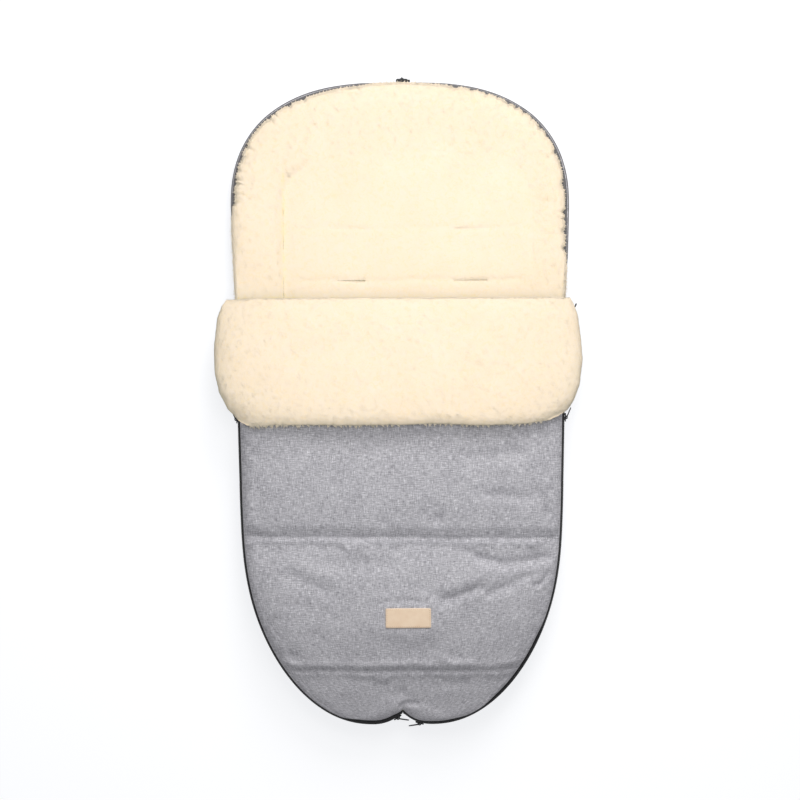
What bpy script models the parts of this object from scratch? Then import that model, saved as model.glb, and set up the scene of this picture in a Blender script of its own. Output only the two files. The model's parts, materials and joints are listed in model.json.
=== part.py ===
"""Stroller footmuff lying on its back: padded back with a hood end, a quilted cover zipped on
round the sides and the foot, and the top of the cover turned down as a deep fleece cuff.
X runs across the footmuff, Y towards the hood end, Z up from the surface it lies on."""

import math

import bmesh
import bpy
from mathutils import Matrix, Vector

MM = 0.001

# Fit and fabric
GAP = 0.3 * MM  # clearance between neighbouring pieces
SHELL = 2.3 * MM  # outer fabric with its backing
RIM = 3.0 * MM  # how far the shell wraps round the layers inside it
OVERRUN = 5.0 * MM  # how far a cutter runs past what it cuts

# Plan of the footmuff, at the fabric's outer edge
HOOD_TOP_Y = 479.0 * MM
HOOD_WIDEST_Y = 292.0 * MM
HOOD_HALF_WIDTH = 250.5 * MM
HOOD_ROUNDNESS = 2.65
FOOT_START_Y = -118.0 * MM
FOOT_END_Y = -482.0 * MM
FOOT_HALF_WIDTH = 241.5 * MM
FOOT_LOBE_X = 43.0 * MM  # lowest point of the foot, either side of the notch
FOOT_ROUNDNESS = 2.15
LOBE_RADIUS = 60.0 * MM  # of the edge from the lowest point up into the notch
NOTCH_REACH = 75.0 * MM  # how far up the cover the notch draws the fabric in
HOOD_STEPS = 20
FOOT_STEPS = 9
LOBE_STEPS = 6
CREASE_Y = 154.0 * MM  # fold where the cover turns over into the cuff
HINGE_Y = -39.0 * MM  # line about which the unzipped top of the cover lifts

# Padded back
BACK_WALL_TOP = 29.5 * MM
BACK_WALL_STRAIGHT_FROM = 20.0 * MM
BACK_SHELL_BASE = 1.6 * MM
BACK_UNDER_RADIUS = 22.0 * MM
BACK_WADDING_TOP = 21.6 * MM
BACK_FLEECE_TOP = 31.0 * MM
ROLL_SHARES = (  # place from the wall to the panel, and rise, across the border's roll
    (0.0, 0.35),
    (0.09, 0.78),
    (0.28, 1.0),
    (0.55, 0.86),
    (0.82, 0.45),
)
HOOD_ROLL_HEIGHT = 15.0 * MM  # rise of the fleece border round the hood
HEM_CHANNEL = 7.5 * MM  # room for the drawcord inside the hood's edge
CORNER_SHARES = ((1.0, 0.0), (0.36, 0.16), (0.07, 0.5), (0.0, 1.0))  # of radius, of height

# Inner panel of the back lining, which holds the harness slots
PANEL_SHIFT_X = 12.0 * MM
PANEL_HALF_WIDTH = 187.0 * MM
PANEL_TOP_Y = 377.0 * MM
PANEL_FOOT_Y = -420.0 * MM
PANEL_FOOT_HALF_WIDTH = 178.0 * MM
PANEL_FOOT_FLAT = 40.0 * MM
PANEL_CREASE = 1.2 * MM

# Harness slots
SLOT_LENGTH = 60.0 * MM
SLOT_WIDTH = 9.0 * MM
SLOT_WALL = 1.6 * MM
SLOT_SPREAD = 95.0 * MM  # from the panel's middle to a shoulder slot
SLOT_LOWER_Y = 182.0 * MM
SLOT_UPPER_Y = 260.0 * MM
SLOT_CROTCH_Y = -75.0 * MM
SLOT_END_STEPS = 5

# Quilted cover, its heights at the edge and at the crown
COVER_EDGE_LOW = 42.5 * MM
COVER_EDGE_HIGH = 50.0 * MM
COVER_CROWN_LOW = 57.0 * MM
COVER_CROWN_HIGH = 84.0 * MM
LINING = 5.0 * MM  # fleece lining under the wadding, at the crown
LINING_AT_EDGE = 2.0 * MM
QUILT_SEAM_1_Y = -204.0 * MM
QUILT_SEAM_2_Y = -402.0 * MM
QUILT_DEPTH = 17.0 * MM
QUILT_REACH = 46.0 * MM  # how far from a seam the fabric is drawn down
QUILT_STEPS = (7.0 * MM, 21.0 * MM, 45.0 * MM)
CROWN_ROUNDNESS = 10
FOOT_CROWN_ROUNDNESS = 8
ROW_BEND = 6  # power by which a row bends towards the edge at its ends
LEAST_ROW = 5.0 * MM
COLUMN_SHARES = (0.0, 0.3, 0.56, 0.78, 0.91, 0.975, 1.0)
COVER_ROWS = (-75.0 * MM, -280.0 * MM, -335.0 * MM)
FLAP_ROWS = (-15.0 * MM, 25.0 * MM, 65.0 * MM, 105.0 * MM)

# Cuff, the turned-down top of the cover
FOLD_WALL = 4.0 * MM  # fleece that wraps the fold
CUFF_GAP = 0.8 * MM
CUFF_LOWER_Y = -27.0 * MM
CUFF_THICKNESS = 27.0 * MM
CUFF_CORNER_LIFT = 24.0 * MM
CUFF_CORNER_ROUNDNESS = 8
CUFF_OVERHANG = 22.0 * MM  # how far it stands out past the body, at its widest
CUFF_OVERHANG_AT_CREASE = 5.5 * MM
CUFF_SIDE_TOP = 76.0 * MM
CUFF_SIDE_LOW = 57.0 * MM
CUFF_SHELL = 1.8 * MM
CUFF_FLEECE = 8.0 * MM
CUFF_FLEECE_SIDE = 3.5 * MM
CUFF_END_DROP = 13.0 * MM
CUFF_ROW_SHARES = (0.0, 0.035, 0.11, 0.3, 0.52, 0.74, 0.89, 0.965, 1.0)
CUFF_BODY_SHARES = (0.0, 0.62, 0.93, 1.0, 1.0, 1.0, 0.9, 0.6, 0.0)
CUFF_BULGE_SHARES = (0.25, 0.5, 0.8, 1.0, 1.0, 0.9, 0.6, 0.25, 0.0)
CUFF_SIDE_DROP_SHARE = 0.45  # of the fleece's thickness, at the cuff's ends

# Zip
CHAIN_Z = 36.0 * MM
BEAD_HEIGHT = 1.9 * MM
BEAD_THICKNESS = 2.2 * MM
CHAIN_SLIT = 1.5 * MM  # between the two coils, where the slider's bridge runs
TAPE_THICKNESS = 0.7 * MM
TAPE_LAP = 8.0 * MM  # how far a tape is sewn over the fabric's edge
ZIP_TOP_Y = 147.0 * MM
ZIP_GATE = 2.5 * MM  # from the foot's notch to the end of either zip
STOP_LENGTH = 2.5 * MM
STOP_HEIGHT = 2.6 * MM
STOP_THICKNESS = 2.8 * MM

# Zip sliders and pull tabs
SLIDER_LENGTH = 13.0 * MM
SLIDER_MOUTH_WIDTH = 9.4 * MM
SLIDER_TAIL_WIDTH = 8.0 * MM
SLIDER_PLATE = 1.1 * MM
SLIDER_PLAY = 0.6 * MM  # lets a slider follow the curved chain of the foot
SLIDER_CORNER = 2.4 * MM
FLANGE_WIDTH = 0.9 * MM
FLANGE_START = 5.5 * MM  # from the mouth
BRIDGE_LENGTH = 3.2 * MM
BRIDGE_THICKNESS = 0.9 * MM
CROWN_LENGTH = 5.6 * MM
CROWN_WIDTH = 1.8 * MM
CROWN_HEIGHT = 3.0 * MM
CROWN_EYE = 1.1 * MM
CROWN_EYE_OFFSET = 1.4 * MM  # above the outer plate
TAB_LENGTH = 16.0 * MM
TAB_WIDTH = 6.0 * MM
TAB_THICKNESS = 1.3 * MM
TAB_HEAD = 6.6 * MM
TAB_BAR = 0.7 * MM
TAB_FRAME = 1.3 * MM
TAB_HOLE = 1.4 * MM
TAB_HOLE_BACK = 4.2 * MM  # from the tip to the hole's middle
TAB_NOSE_SHARES = ((1.0, 0.8), (0.33, 0.6), (0.0, 0.2))  # of half the width, back and out
UPPER_SLIDER_Y = -25.0 * MM
FOOT_SLIDER_LEFT_ANGLE = math.radians(34.3)  # round its lobe from the lowest point
FOOT_SLIDER_RIGHT_ANGLE = math.radians(16.5)
UPPER_TAB_ANGLE = math.radians(22)
FOOT_TAB_LEFT_ANGLE = math.radians(43)
FOOT_TAB_RIGHT_ANGLE = math.radians(25)

# Tail of tape at the right end of the crease
TAIL_HEIGHT = 9.0 * MM
TAIL_Z = CHAIN_Z + TAB_WIDTH / 2 + 2 * GAP  # clear of the pull tab that passes under it
TAIL_THICKNESS = 1.6 * MM
TAIL_RUN = 13.0 * MM
TAIL_DROP = 9.0 * MM
TAIL_HOOK = 6.5 * MM
TAIL_SHARES = ((0.0, 0.0), (0.6, 1.0), (1.0, 0.8))  # of its run and of its drop
TAIL_HOOK_LEAN = 0.33

# Label
LABEL_WIDTH = 67.0 * MM
LABEL_LENGTH = 29.0 * MM
LABEL_THICKNESS = 1.6 * MM
LABEL_X = 9.0 * MM
LABEL_Y = -320.0 * MM
LABEL_CORNER = 3.0 * MM

# Hood drawcord and its lock
CORD = 2.4 * MM
CORD_Z = 26.2 * MM
CORD_PITCH = 3.4 * MM  # between its two runs through the lock
CORD_END_Y = 250.0 * MM
LOCK_X = 4.0 * MM
LOCK_LENGTH = 18.0 * MM
LOCK_DEPTH = 6.0 * MM
LOCK_HEIGHT = 9.0 * MM
LOCK_EDGE = 1.4 * MM
LOCK_END_SHARES = (0.25, 0.75)  # of its depth, where its rounded edges start
LOCK_WALL = 1.2 * MM
LOCK_BACK = 2.0 * MM
PLUNGER_TRAVEL = 2.5 * MM
PLUNGER_BUTTON = 3.2 * MM
PLUNGER_SEAT = 4.2 * MM  # room for the spring behind the plunger
CORD_CLEARANCE = 0.35 * MM
SPRING_WIRE = 0.4 * MM
SPRING_DIAMETER = 2.4 * MM
SPRING_TURNS = 4
SPRING_POINTS_PER_TURN = 8


def clear_scene():
    for old in list(bpy.data.objects):
        bpy.data.objects.remove(old, do_unlink=True)


def make_material(name, colour, roughness, metallic=0.0):
    material = bpy.data.materials.new(name)
    material.use_nodes = True
    shader = material.node_tree.nodes["Principled BSDF"]
    shader.inputs["Base Color"].default_value = (*colour, 1.0)
    shader.inputs["Roughness"].default_value = roughness
    shader.inputs["Metallic"].default_value = metallic
    material.diffuse_color = (*colour, 1.0)
    return material


def make_materials():
    return {
        "melange": make_material("melange_fabric", (0.42, 0.41, 0.43), 0.9),
        "fleece": make_material("cream_fleece", (0.95, 0.89, 0.76), 1.0),
        "wadding": make_material("wadding", (0.9, 0.9, 0.88), 1.0),
        "leather": make_material("pale_leather", (0.8, 0.64, 0.5), 0.55),
        "tape": make_material("zip_tape", (0.02, 0.02, 0.022), 0.85),
        "coil": make_material("zip_coil", (0.025, 0.025, 0.027), 0.4),
        "slider": make_material("slider_metal", (0.05, 0.05, 0.055), 0.35, 1.0),
        "cord": make_material("hood_cord", (0.03, 0.03, 0.032), 0.8),
        "plastic": make_material("lock_plastic", (0.02, 0.02, 0.022), 0.45),
        "spring": make_material("spring_steel", (0.6, 0.6, 0.62), 0.3, 1.0),
    }


def add_object(name, mesh, material, origin=None):
    """Link a bmesh as an object, its origin moved to the given point."""
    if origin is not None:
        bmesh.ops.translate(mesh, vec=-Vector(origin), verts=mesh.verts)
    data = bpy.data.meshes.new(name)
    mesh.to_mesh(data)
    mesh.free()
    data.materials.append(material)
    created = bpy.data.objects.new(name, data)
    if origin is not None:
        created.location = origin
    bpy.context.collection.objects.link(created)
    return created


def finish_solid(mesh):
    bmesh.ops.remove_doubles(mesh, verts=mesh.verts, dist=GAP / 100)
    bmesh.ops.recalc_face_normals(mesh, faces=mesh.faces)
    return mesh


def cut_away(target, cutter):
    """Subtract a cutter from a solid and delete the cutter."""
    modifier = target.modifiers.new("cut", "BOOLEAN")
    modifier.operation = "DIFFERENCE"
    modifier.solver = "EXACT"
    modifier.object = cutter
    bpy.context.view_layer.update()
    graph = bpy.context.evaluated_depsgraph_get()
    shaped = bpy.data.meshes.new_from_object(target.evaluated_get(graph))
    target.modifiers.clear()
    target.data = shaped
    bpy.data.objects.remove(cutter, do_unlink=True)


def join_on(target, piece):
    """Fuse a second solid onto a first one."""
    modifier = target.modifiers.new("join", "BOOLEAN")
    modifier.operation = "UNION"
    modifier.solver = "EXACT"
    modifier.object = piece
    bpy.context.view_layer.update()
    graph = bpy.context.evaluated_depsgraph_get()
    shaped = bpy.data.meshes.new_from_object(target.evaluated_get(graph))
    target.modifiers.clear()
    target.data = shaped
    bpy.data.objects.remove(piece, do_unlink=True)


# Plan curves


def body_half_width(y):
    """Half width of the straight sides, which draw in a little towards the foot."""
    along = (HOOD_WIDEST_Y - y) / (HOOD_WIDEST_Y - FOOT_START_Y)
    return HOOD_HALF_WIDTH + (FOOT_HALF_WIDTH - HOOD_HALF_WIDTH) * along


def hood_arc(half_width, widest_y, top_y):
    """Points of the hood's arc from its right end over the top to its left end."""
    power = 2 / HOOD_ROUNDNESS
    points = []
    for step in range(HOOD_STEPS + 1):
        angle = math.pi * step / HOOD_STEPS
        across = math.copysign(abs(math.cos(angle)) ** power, math.cos(angle))
        up = abs(math.sin(angle)) ** power
        points.append(Vector((half_width * across, widest_y + (top_y - widest_y) * up)))
    return points


def foot_arc(half_width, flat, start_y, end_y):
    """Points of the right half of the foot, from the side to the flat stretch at the bottom."""
    power = 2 / FOOT_ROUNDNESS
    points = []
    for step in range(FOOT_STEPS + 1):
        angle = math.pi / 2 * step / FOOT_STEPS
        across = max(math.cos(angle), 0.0) ** power
        down = math.sin(angle) ** power
        x = flat + (half_width - flat) * across
        points.append(Vector((x, start_y + (end_y - start_y) * down)))
    return points


def notch_angle():
    """Angle round a lobe of the foot from its lowest point up to the notch."""
    return math.asin(FOOT_LOBE_X / LOBE_RADIUS)


def lobe_place(angle, reach=0.0):
    """Point on the right lobe's arc, and the outward direction there."""
    outward = Vector((-math.sin(angle), -math.cos(angle)))
    centre = Vector((FOOT_LOBE_X, FOOT_END_Y + LOBE_RADIUS))
    return centre + outward * (LOBE_RADIUS + reach), outward


def right_edge():
    """Right edge of the body, from the hood's widest place round the foot to the notch."""
    side = [Vector((body_half_width(y), y)) for y in (HOOD_WIDEST_Y, CREASE_Y, HINGE_Y)]
    foot = foot_arc(FOOT_HALF_WIDTH, FOOT_LOBE_X, FOOT_START_Y, FOOT_END_Y)
    lobe = [lobe_place(notch_angle() * (step + 1) / LOBE_STEPS)[0] for step in range(LOBE_STEPS)]
    return side + foot + lobe


def offset_polyline(points, distance):
    """Move the body's right edge, walked down and round to the notch, outwards."""
    last = len(points) - 1
    shifted = []
    for index, point in enumerate(points):
        before = points[max(index - 1, 0)]
        after = points[min(index + 1, last)]
        first = (point - before).normalized() if index else (after - point).normalized()
        second = (after - point).normalized() if index < last else Vector((first.x, -first.y))
        normal_1 = Vector((-first.y, first.x))
        normal_2 = Vector((-second.y, second.x))
        mitre = (normal_1 + normal_2).normalized()
        shifted.append(point + mitre * (distance / mitre.dot(normal_1)))
    return shifted


def edge_at(y, inset=0.0):
    """Point on the right edge in the row at y, moved in from the fabric's outer edge."""
    base = right_edge()
    inner = offset_polyline(base, -inset)
    lowest = len(base) - 1 - LOBE_STEPS
    for index in range(lowest):
        upper, lower = base[index], base[index + 1]
        if upper.y >= y >= lower.y:
            share = (upper.y - y) / (upper.y - lower.y)
            return inner[index].lerp(inner[index + 1], share)
    return inner[lowest] if y < CREASE_Y else inner[0]


def body_outline():
    """Whole plan of the footmuff, counterclockwise from the hood's right end."""
    hood = hood_arc(HOOD_HALF_WIDTH, HOOD_WIDEST_Y, HOOD_TOP_Y)
    right = right_edge()[1:]
    left = [Vector((-p.x, p.y)) for p in right[:-1]]
    return hood + left + right[::-1]


def panel_outline():
    """Plan of the lining's inner panel, point for point with the body's outline."""
    hood = hood_arc(PANEL_HALF_WIDTH, HOOD_WIDEST_Y, PANEL_TOP_Y)
    sides = [Vector((PANEL_HALF_WIDTH, y)) for y in (CREASE_Y, HINGE_Y)]
    foot = foot_arc(PANEL_FOOT_HALF_WIDTH, PANEL_FOOT_FLAT, FOOT_START_Y, PANEL_FOOT_Y)
    middle = Vector((0.0, PANEL_FOOT_Y))
    flat = [foot[-1].lerp(middle, (step + 1) / LOBE_STEPS) for step in range(LOBE_STEPS)]
    right = sides + foot + flat
    left = [Vector((-p.x, p.y)) for p in right[:-1]]
    return [p + Vector((PANEL_SHIFT_X, 0.0)) for p in hood + left + right[::-1]]


def inset_loop(points, distance):
    """Move a closed counterclockwise loop inwards by a distance."""
    count = len(points)
    shifted = []
    for index, point in enumerate(points):
        into = (point - points[index - 1]).normalized()
        out = (points[(index + 1) % count] - point).normalized()
        normal_1 = Vector((-into.y, into.x))
        normal_2 = Vector((-out.y, out.x))
        mitre = (normal_1 + normal_2).normalized()
        shifted.append(point + mitre * (distance / mitre.dot(normal_1)))
    return shifted


def at_height(loop, z):
    return [Vector((p.x, p.y, z)) for p in loop]


# Solid builders


def band(mesh, lower, upper, closed=True):
    """Triangles between two rows of vertices of the same count."""
    count = len(lower)
    for index in range(count if closed else count - 1):
        after = (index + 1) % count
        mesh.faces.new((lower[index], lower[after], upper[after]))
        mesh.faces.new((lower[index], upper[after], upper[index]))


def ring_loft(rings, capped=True):
    """A solid through closed rings of points, with flat caps or joined end to end."""
    mesh = bmesh.new()
    rows = [[mesh.verts.new(p) for p in ring] for ring in rings]
    for lower, upper in zip(rows, rows[1:]):
        band(mesh, lower, upper)
    if capped:
        mesh.faces.new(rows[0])
        mesh.faces.new(rows[-1])
    else:
        band(mesh, rows[-1], rows[0])
    return finish_solid(mesh)


def grid_faces(mesh, rows):
    """Triangles over a grid, with diagonals that mirror about its middle column."""
    middle = (len(rows[0]) - 1) / 2
    for upper, lower in zip(rows, rows[1:]):
        for column in range(len(upper) - 1):
            a, b = upper[column], upper[column + 1]
            c, d = lower[column + 1], lower[column]
            corners = ((a, b, c), (a, c, d)) if column < middle else ((a, b, d), (b, c, d))
            for corner in corners:
                if len(set(corner)) == len(corner):
                    mesh.faces.new(corner)


def border_of(rows):
    """Vertices round a grid, in order."""
    right = [row[-1] for row in rows[1:-1]]
    left = [row[0] for row in rows[-2:0:-1]]
    return rows[0] + right + rows[-1][::-1] + left


def layer(outer, inner):
    """A closed solid between two grids of points of the same size."""
    mesh = bmesh.new()
    top = [[mesh.verts.new(p) for p in row] for row in outer]
    bottom = [[mesh.verts.new(p) for p in row] for row in inner]
    grid_faces(mesh, top)
    grid_faces(mesh, bottom)
    band(mesh, border_of(top), border_of(bottom))
    degenerate = [e for e in mesh.edges if e.calc_length() < GAP / 100]
    bmesh.ops.dissolve_degenerate(mesh, dist=GAP / 100, edges=degenerate)
    return finish_solid(mesh)


def ribbon(points, normals, reach_in, reach_out, low, high):
    """A strip of rectangular section that stands on edge along a path in plan."""
    rings = []
    for point, normal in zip(points, normals):
        inside = point + normal * reach_in
        outside = point + normal * reach_out
        rings.append([
            Vector((inside.x, inside.y, low)),
            Vector((outside.x, outside.y, low)),
            Vector((outside.x, outside.y, high)),
            Vector((inside.x, inside.y, high)),
        ])
    return ring_loft(rings)


def box(low, high):
    mesh = bmesh.new()
    bmesh.ops.create_cube(mesh, size=1.0)
    low, high = Vector(low), Vector(high)
    size = high - low
    bmesh.ops.scale(mesh, vec=size, verts=mesh.verts)
    bmesh.ops.translate(mesh, vec=(low + high) / 2, verts=mesh.verts)
    return mesh


def stadium(length, width, steps):
    """Closed outline with round ends, long in X."""
    radius = width / 2
    straight = length / 2 - radius
    points = []
    for side in (1, -1):
        for step in range(steps + 1):
            angle = -math.pi / 2 + math.pi * step / steps + (0 if side > 0 else math.pi)
            x = side * straight + radius * math.cos(angle)
            points.append(Vector((x, radius * math.sin(angle))))
    return points


def round_rectangle(width, length, corner, steps=3):
    """Closed outline of a rectangle with round corners, counterclockwise."""
    points = []
    for quarter in range(4):
        sign_x = 1 if quarter in (0, 3) else -1
        sign_y = 1 if quarter in (0, 1) else -1
        for step in range(steps + 1):
            angle = math.pi / 2 * (quarter + step / steps)
            x = sign_x * (width / 2 - corner) + corner * math.cos(angle)
            points.append(Vector((x, sign_y * (length / 2 - corner) + corner * math.sin(angle))))
    return points


def moved(points, x, y):
    return [p + Vector((x, y)) for p in points]


def prism(outline, low, high):
    return ring_loft([at_height(outline, low), at_height(outline, high)])


# Padded back


def edge_rings(inset, base, straight_from, top, radius):
    """Rings up the outside of the back: a flat base, a rounded lower edge and a wall."""
    outline = body_outline()
    rings = []
    for radius_share, height_share in CORNER_SHARES:
        loop = inset_loop(outline, inset + radius * radius_share)
        rings.append(at_height(loop, base + (straight_from - base) * height_share))
    rings.append(at_height(inset_loop(outline, inset), top))
    return rings


def slot_places():
    """Name and middle of each harness slot."""
    places = []
    for row, y in (("lower", SLOT_LOWER_Y), ("upper", SLOT_UPPER_Y)):
        for side, sign in (("left", -1), ("right", 1)):
            places.append((f"slot_{row}_{side}", PANEL_SHIFT_X + sign * SLOT_SPREAD, y))
    places.append(("slot_crotch", PANEL_SHIFT_X, SLOT_CROTCH_Y))
    return places


def cut_slots(target, material):
    length = SLOT_LENGTH + 2 * (SLOT_WALL + GAP)
    width = SLOT_WIDTH + 2 * (SLOT_WALL + GAP)
    hole = stadium(length, width, SLOT_END_STEPS)
    for name, x, y in slot_places():
        mesh = prism(moved(hole, x, y), -OVERRUN, BACK_FLEECE_TOP + OVERRUN)
        cut_away(target, add_object(f"{name}_cutter", mesh, material))


def build_back_shell(materials):
    outside = edge_rings(0.0, 0.0, BACK_WALL_STRAIGHT_FROM, BACK_WALL_TOP, BACK_UNDER_RADIUS)
    inside = edge_rings(
        SHELL, BACK_SHELL_BASE, BACK_WALL_STRAIGHT_FROM, BACK_WALL_TOP, BACK_UNDER_RADIUS
    )
    shell = add_object("back_shell", ring_loft(outside + inside[::-1]), materials["melange"])
    cut_slots(shell, materials["melange"])
    exit_width = 2 * CORD_PITCH + CORD
    hole = stadium(exit_width, CORD + 2 * CORD_CLEARANCE, SLOT_END_STEPS)
    mesh = prism(hole, -OVERRUN, OVERRUN)
    upright = Matrix.Rotation(math.pi / 2, 3, "X")
    bmesh.ops.rotate(mesh, cent=Vector(), matrix=upright, verts=mesh.verts)
    bmesh.ops.translate(mesh, vec=(LOCK_X, HOOD_TOP_Y, CORD_Z), verts=mesh.verts)
    cut_away(shell, add_object("cord_exit_cutter", mesh, materials["melange"]))


def build_back_wadding(materials):
    inset = SHELL + GAP
    rings = edge_rings(
        inset, BACK_SHELL_BASE + GAP, BACK_WALL_STRAIGHT_FROM, BACK_WADDING_TOP, BACK_UNDER_RADIUS
    )
    wadding = add_object("back_wadding", ring_loft(rings), materials["wadding"])
    cut_slots(wadding, materials["wadding"])


def roll_share(y):
    """The fleece border stands up round the hood and lies flat under the cover."""
    rise = (y - CREASE_Y) / (HOOD_WIDEST_Y - CREASE_Y)
    return min(max(rise, 0.0), 1.0)


def build_back_lining(materials):
    """Fleece border, a roll that rises round the hood, and the flat panel inside it."""
    outline = body_outline()
    panel = panel_outline()
    low = BACK_WADDING_TOP + GAP
    flat = BACK_FLEECE_TOP
    wall = SHELL + GAP
    stops = [
        (HEM_CHANNEL, 0.0, low, 0.0),
        (HEM_CHANNEL, 0.0, BACK_WALL_TOP, 0.0),
        (wall, 0.0, BACK_WALL_TOP + GAP, 0.0),
    ]
    stops += [(wall, inward_share, flat, rise_share) for inward_share, rise_share in ROLL_SHARES]
    rings = []
    for inset, inward_share, height, roll in stops:
        loop = inset_loop(outline, inset)
        ring = []
        for start, end in zip(loop, panel):
            place = start.lerp(end, inward_share)
            rise = roll * HOOD_ROLL_HEIGHT * roll_share(start.y)
            ring.append(Vector((place.x, place.y, height + rise)))
        rings.append(ring)
    rings.append(at_height(panel, flat))
    rings.append(at_height(panel, low))
    add_object("back_fleece_border", ring_loft(rings, capped=False), materials["fleece"])
    flat_loop = inset_loop(panel, PANEL_CREASE)
    middle = add_object("back_fleece_panel", prism(flat_loop, low, flat), materials["fleece"])
    cut_slots(middle, materials["fleece"])


def build_slot_bindings(materials):
    outer = stadium(SLOT_LENGTH + 2 * SLOT_WALL, SLOT_WIDTH + 2 * SLOT_WALL, SLOT_END_STEPS)
    inner = stadium(SLOT_LENGTH, SLOT_WIDTH, SLOT_END_STEPS)
    for name, x, y in slot_places():
        rings = [
            at_height(moved(outer, x, y), GAP),
            at_height(moved(outer, x, y), BACK_FLEECE_TOP),
            at_height(moved(inner, x, y), BACK_FLEECE_TOP),
            at_height(moved(inner, x, y), GAP),
        ]
        add_object(name, ring_loft(rings, capped=False), materials["fleece"])


# Quilted cover and the flap above it


def columns():
    left = [-share for share in reversed(COLUMN_SHARES[1:])]
    return left + list(COLUMN_SHARES)


def crown_share(across):
    return math.sqrt(max(1 - abs(across) ** CROWN_ROUNDNESS, 0.0))


def foot_share(y):
    down = max((HINGE_Y - y) / (HINGE_Y - FOOT_END_Y), 0.0)
    return math.sqrt(max(1 - down**FOOT_CROWN_ROUNDNESS, 0.0))


def quilt_share(y):
    """One on a quilting seam, falling to nothing at the middle of a puff."""
    nearest = min(abs(y - QUILT_SEAM_1_Y), abs(y - QUILT_SEAM_2_Y))
    return max(1 - nearest / QUILT_REACH, 0.0) ** 2


def notch_rise(x, inset):
    """How far the foot's edge is drawn in at x, measured up from its lowest points."""
    radius = LOBE_RADIUS - inset
    away = FOOT_LOBE_X - min(abs(x), FOOT_LOBE_X)
    return radius - math.sqrt(radius**2 - away**2)


def cover_height(edge, crown, quilted, across, y):
    fill = crown_share(across) * foot_share(y)
    drawn = QUILT_DEPTH * quilt_share(y) if quilted else 0.0
    return edge + (crown - edge - drawn) * fill


def plan_point(across, y, inset):
    """Place in plan of a point across a row; the rows bend round the foot and its notch."""
    edge = edge_at(y, inset)
    down = max((HINGE_Y - y) / (HINGE_Y - FOOT_END_Y), 0.0)
    level = y + inset * down**FOOT_CROWN_ROUNDNESS
    x = across * edge.x
    drawn = max(1 - (y - FOOT_END_Y) / NOTCH_REACH, 0.0) ** 2
    bent = level + (edge.y - level) * abs(across) ** ROW_BEND
    return Vector((x, bent + notch_rise(x, inset) * drawn))


def cover_grid(rows, inset, edge, crown, quilted):
    grid = []
    for y in rows:
        line = []
        for across in columns():
            place = plan_point(across, y, inset)
            line.append(Vector((place.x, place.y, cover_height(edge, crown, quilted, across, y))))
        grid.append(line)
    return grid


def with_skirt(grid, low, foot=True):
    """Turn a grid down at its sides, and at its last row, to a lower edge."""
    def dropped(point):
        return Vector((point.x, point.y, low))

    rows = [[dropped(row[0])] + row + [dropped(row[-1])] for row in grid]
    if foot:
        rows.append([dropped(p) for p in rows[-1]])
    return rows


def cover_rows():
    """Rows of the cover, at the edge's own points and closer together at the seams."""
    foot = foot_arc(FOOT_HALF_WIDTH, FOOT_LOBE_X, FOOT_START_Y, FOOT_END_Y)
    rows = [HINGE_Y] + [p.y for p in foot]
    wanted = list(COVER_ROWS)
    for seam in (QUILT_SEAM_1_Y, QUILT_SEAM_2_Y):
        wanted.append(seam)
        wanted += [seam + step for step in QUILT_STEPS]
        wanted += [seam - step for step in QUILT_STEPS if seam - step > FOOT_END_Y]
    for y in wanted:
        if min(abs(y - other) for other in rows) > LEAST_ROW:
            rows.append(y)
    return sorted(rows, reverse=True)


def layer_heights():
    """Edge and crown heights from the lining's underside up to the shell's top."""
    wadding_low = (COVER_EDGE_LOW + LINING_AT_EDGE, COVER_CROWN_LOW + LINING)
    wadding_high = (COVER_EDGE_HIGH - SHELL - GAP, COVER_CROWN_HIGH - SHELL - GAP)
    return wadding_low, wadding_high


def build_cover(materials):
    rows = cover_rows()
    rows[0] = HINGE_Y - GAP / 2
    wadding_low, wadding_high = layer_heights()
    inside = RIM
    outer = cover_grid(rows, 0.0, COVER_EDGE_HIGH, COVER_CROWN_HIGH, True)
    inner = cover_grid(rows, inside - GAP, wadding_high[0] + GAP, wadding_high[1] + GAP, True)
    shell = layer(with_skirt(outer, COVER_EDGE_LOW), with_skirt(inner, COVER_EDGE_LOW))
    add_object("cover_shell", shell, materials["melange"])
    top = cover_grid(rows, inside, wadding_high[0], wadding_high[1], True)
    under = cover_grid(rows, inside, wadding_low[0] + GAP, wadding_low[1] + GAP, False)
    add_object("cover_wadding", layer(top, under), materials["wadding"])
    top = cover_grid(rows, inside, wadding_low[0], wadding_low[1], False)
    under = cover_grid(rows, inside, COVER_EDGE_LOW, COVER_CROWN_LOW, False)
    add_object("cover_fleece", layer(top, under), materials["fleece"])


def flap_axis():
    """Point on the line about which the flap lifts, at the cover's crown."""
    return Vector((0.0, HINGE_Y, COVER_CROWN_HIGH))


def cuff_axis():
    """Point on the line about which the cuff unfolds, at the crease."""
    return Vector((0.0, CREASE_Y, COVER_CROWN_HIGH + CUFF_GAP / 2))


def flap_rows():
    """Rows of the flap from the fold's inner face down to the hinge line."""
    return [CREASE_Y - FOLD_WALL - GAP] + sorted(FLAP_ROWS, reverse=True) + [HINGE_Y + GAP / 2]


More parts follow.
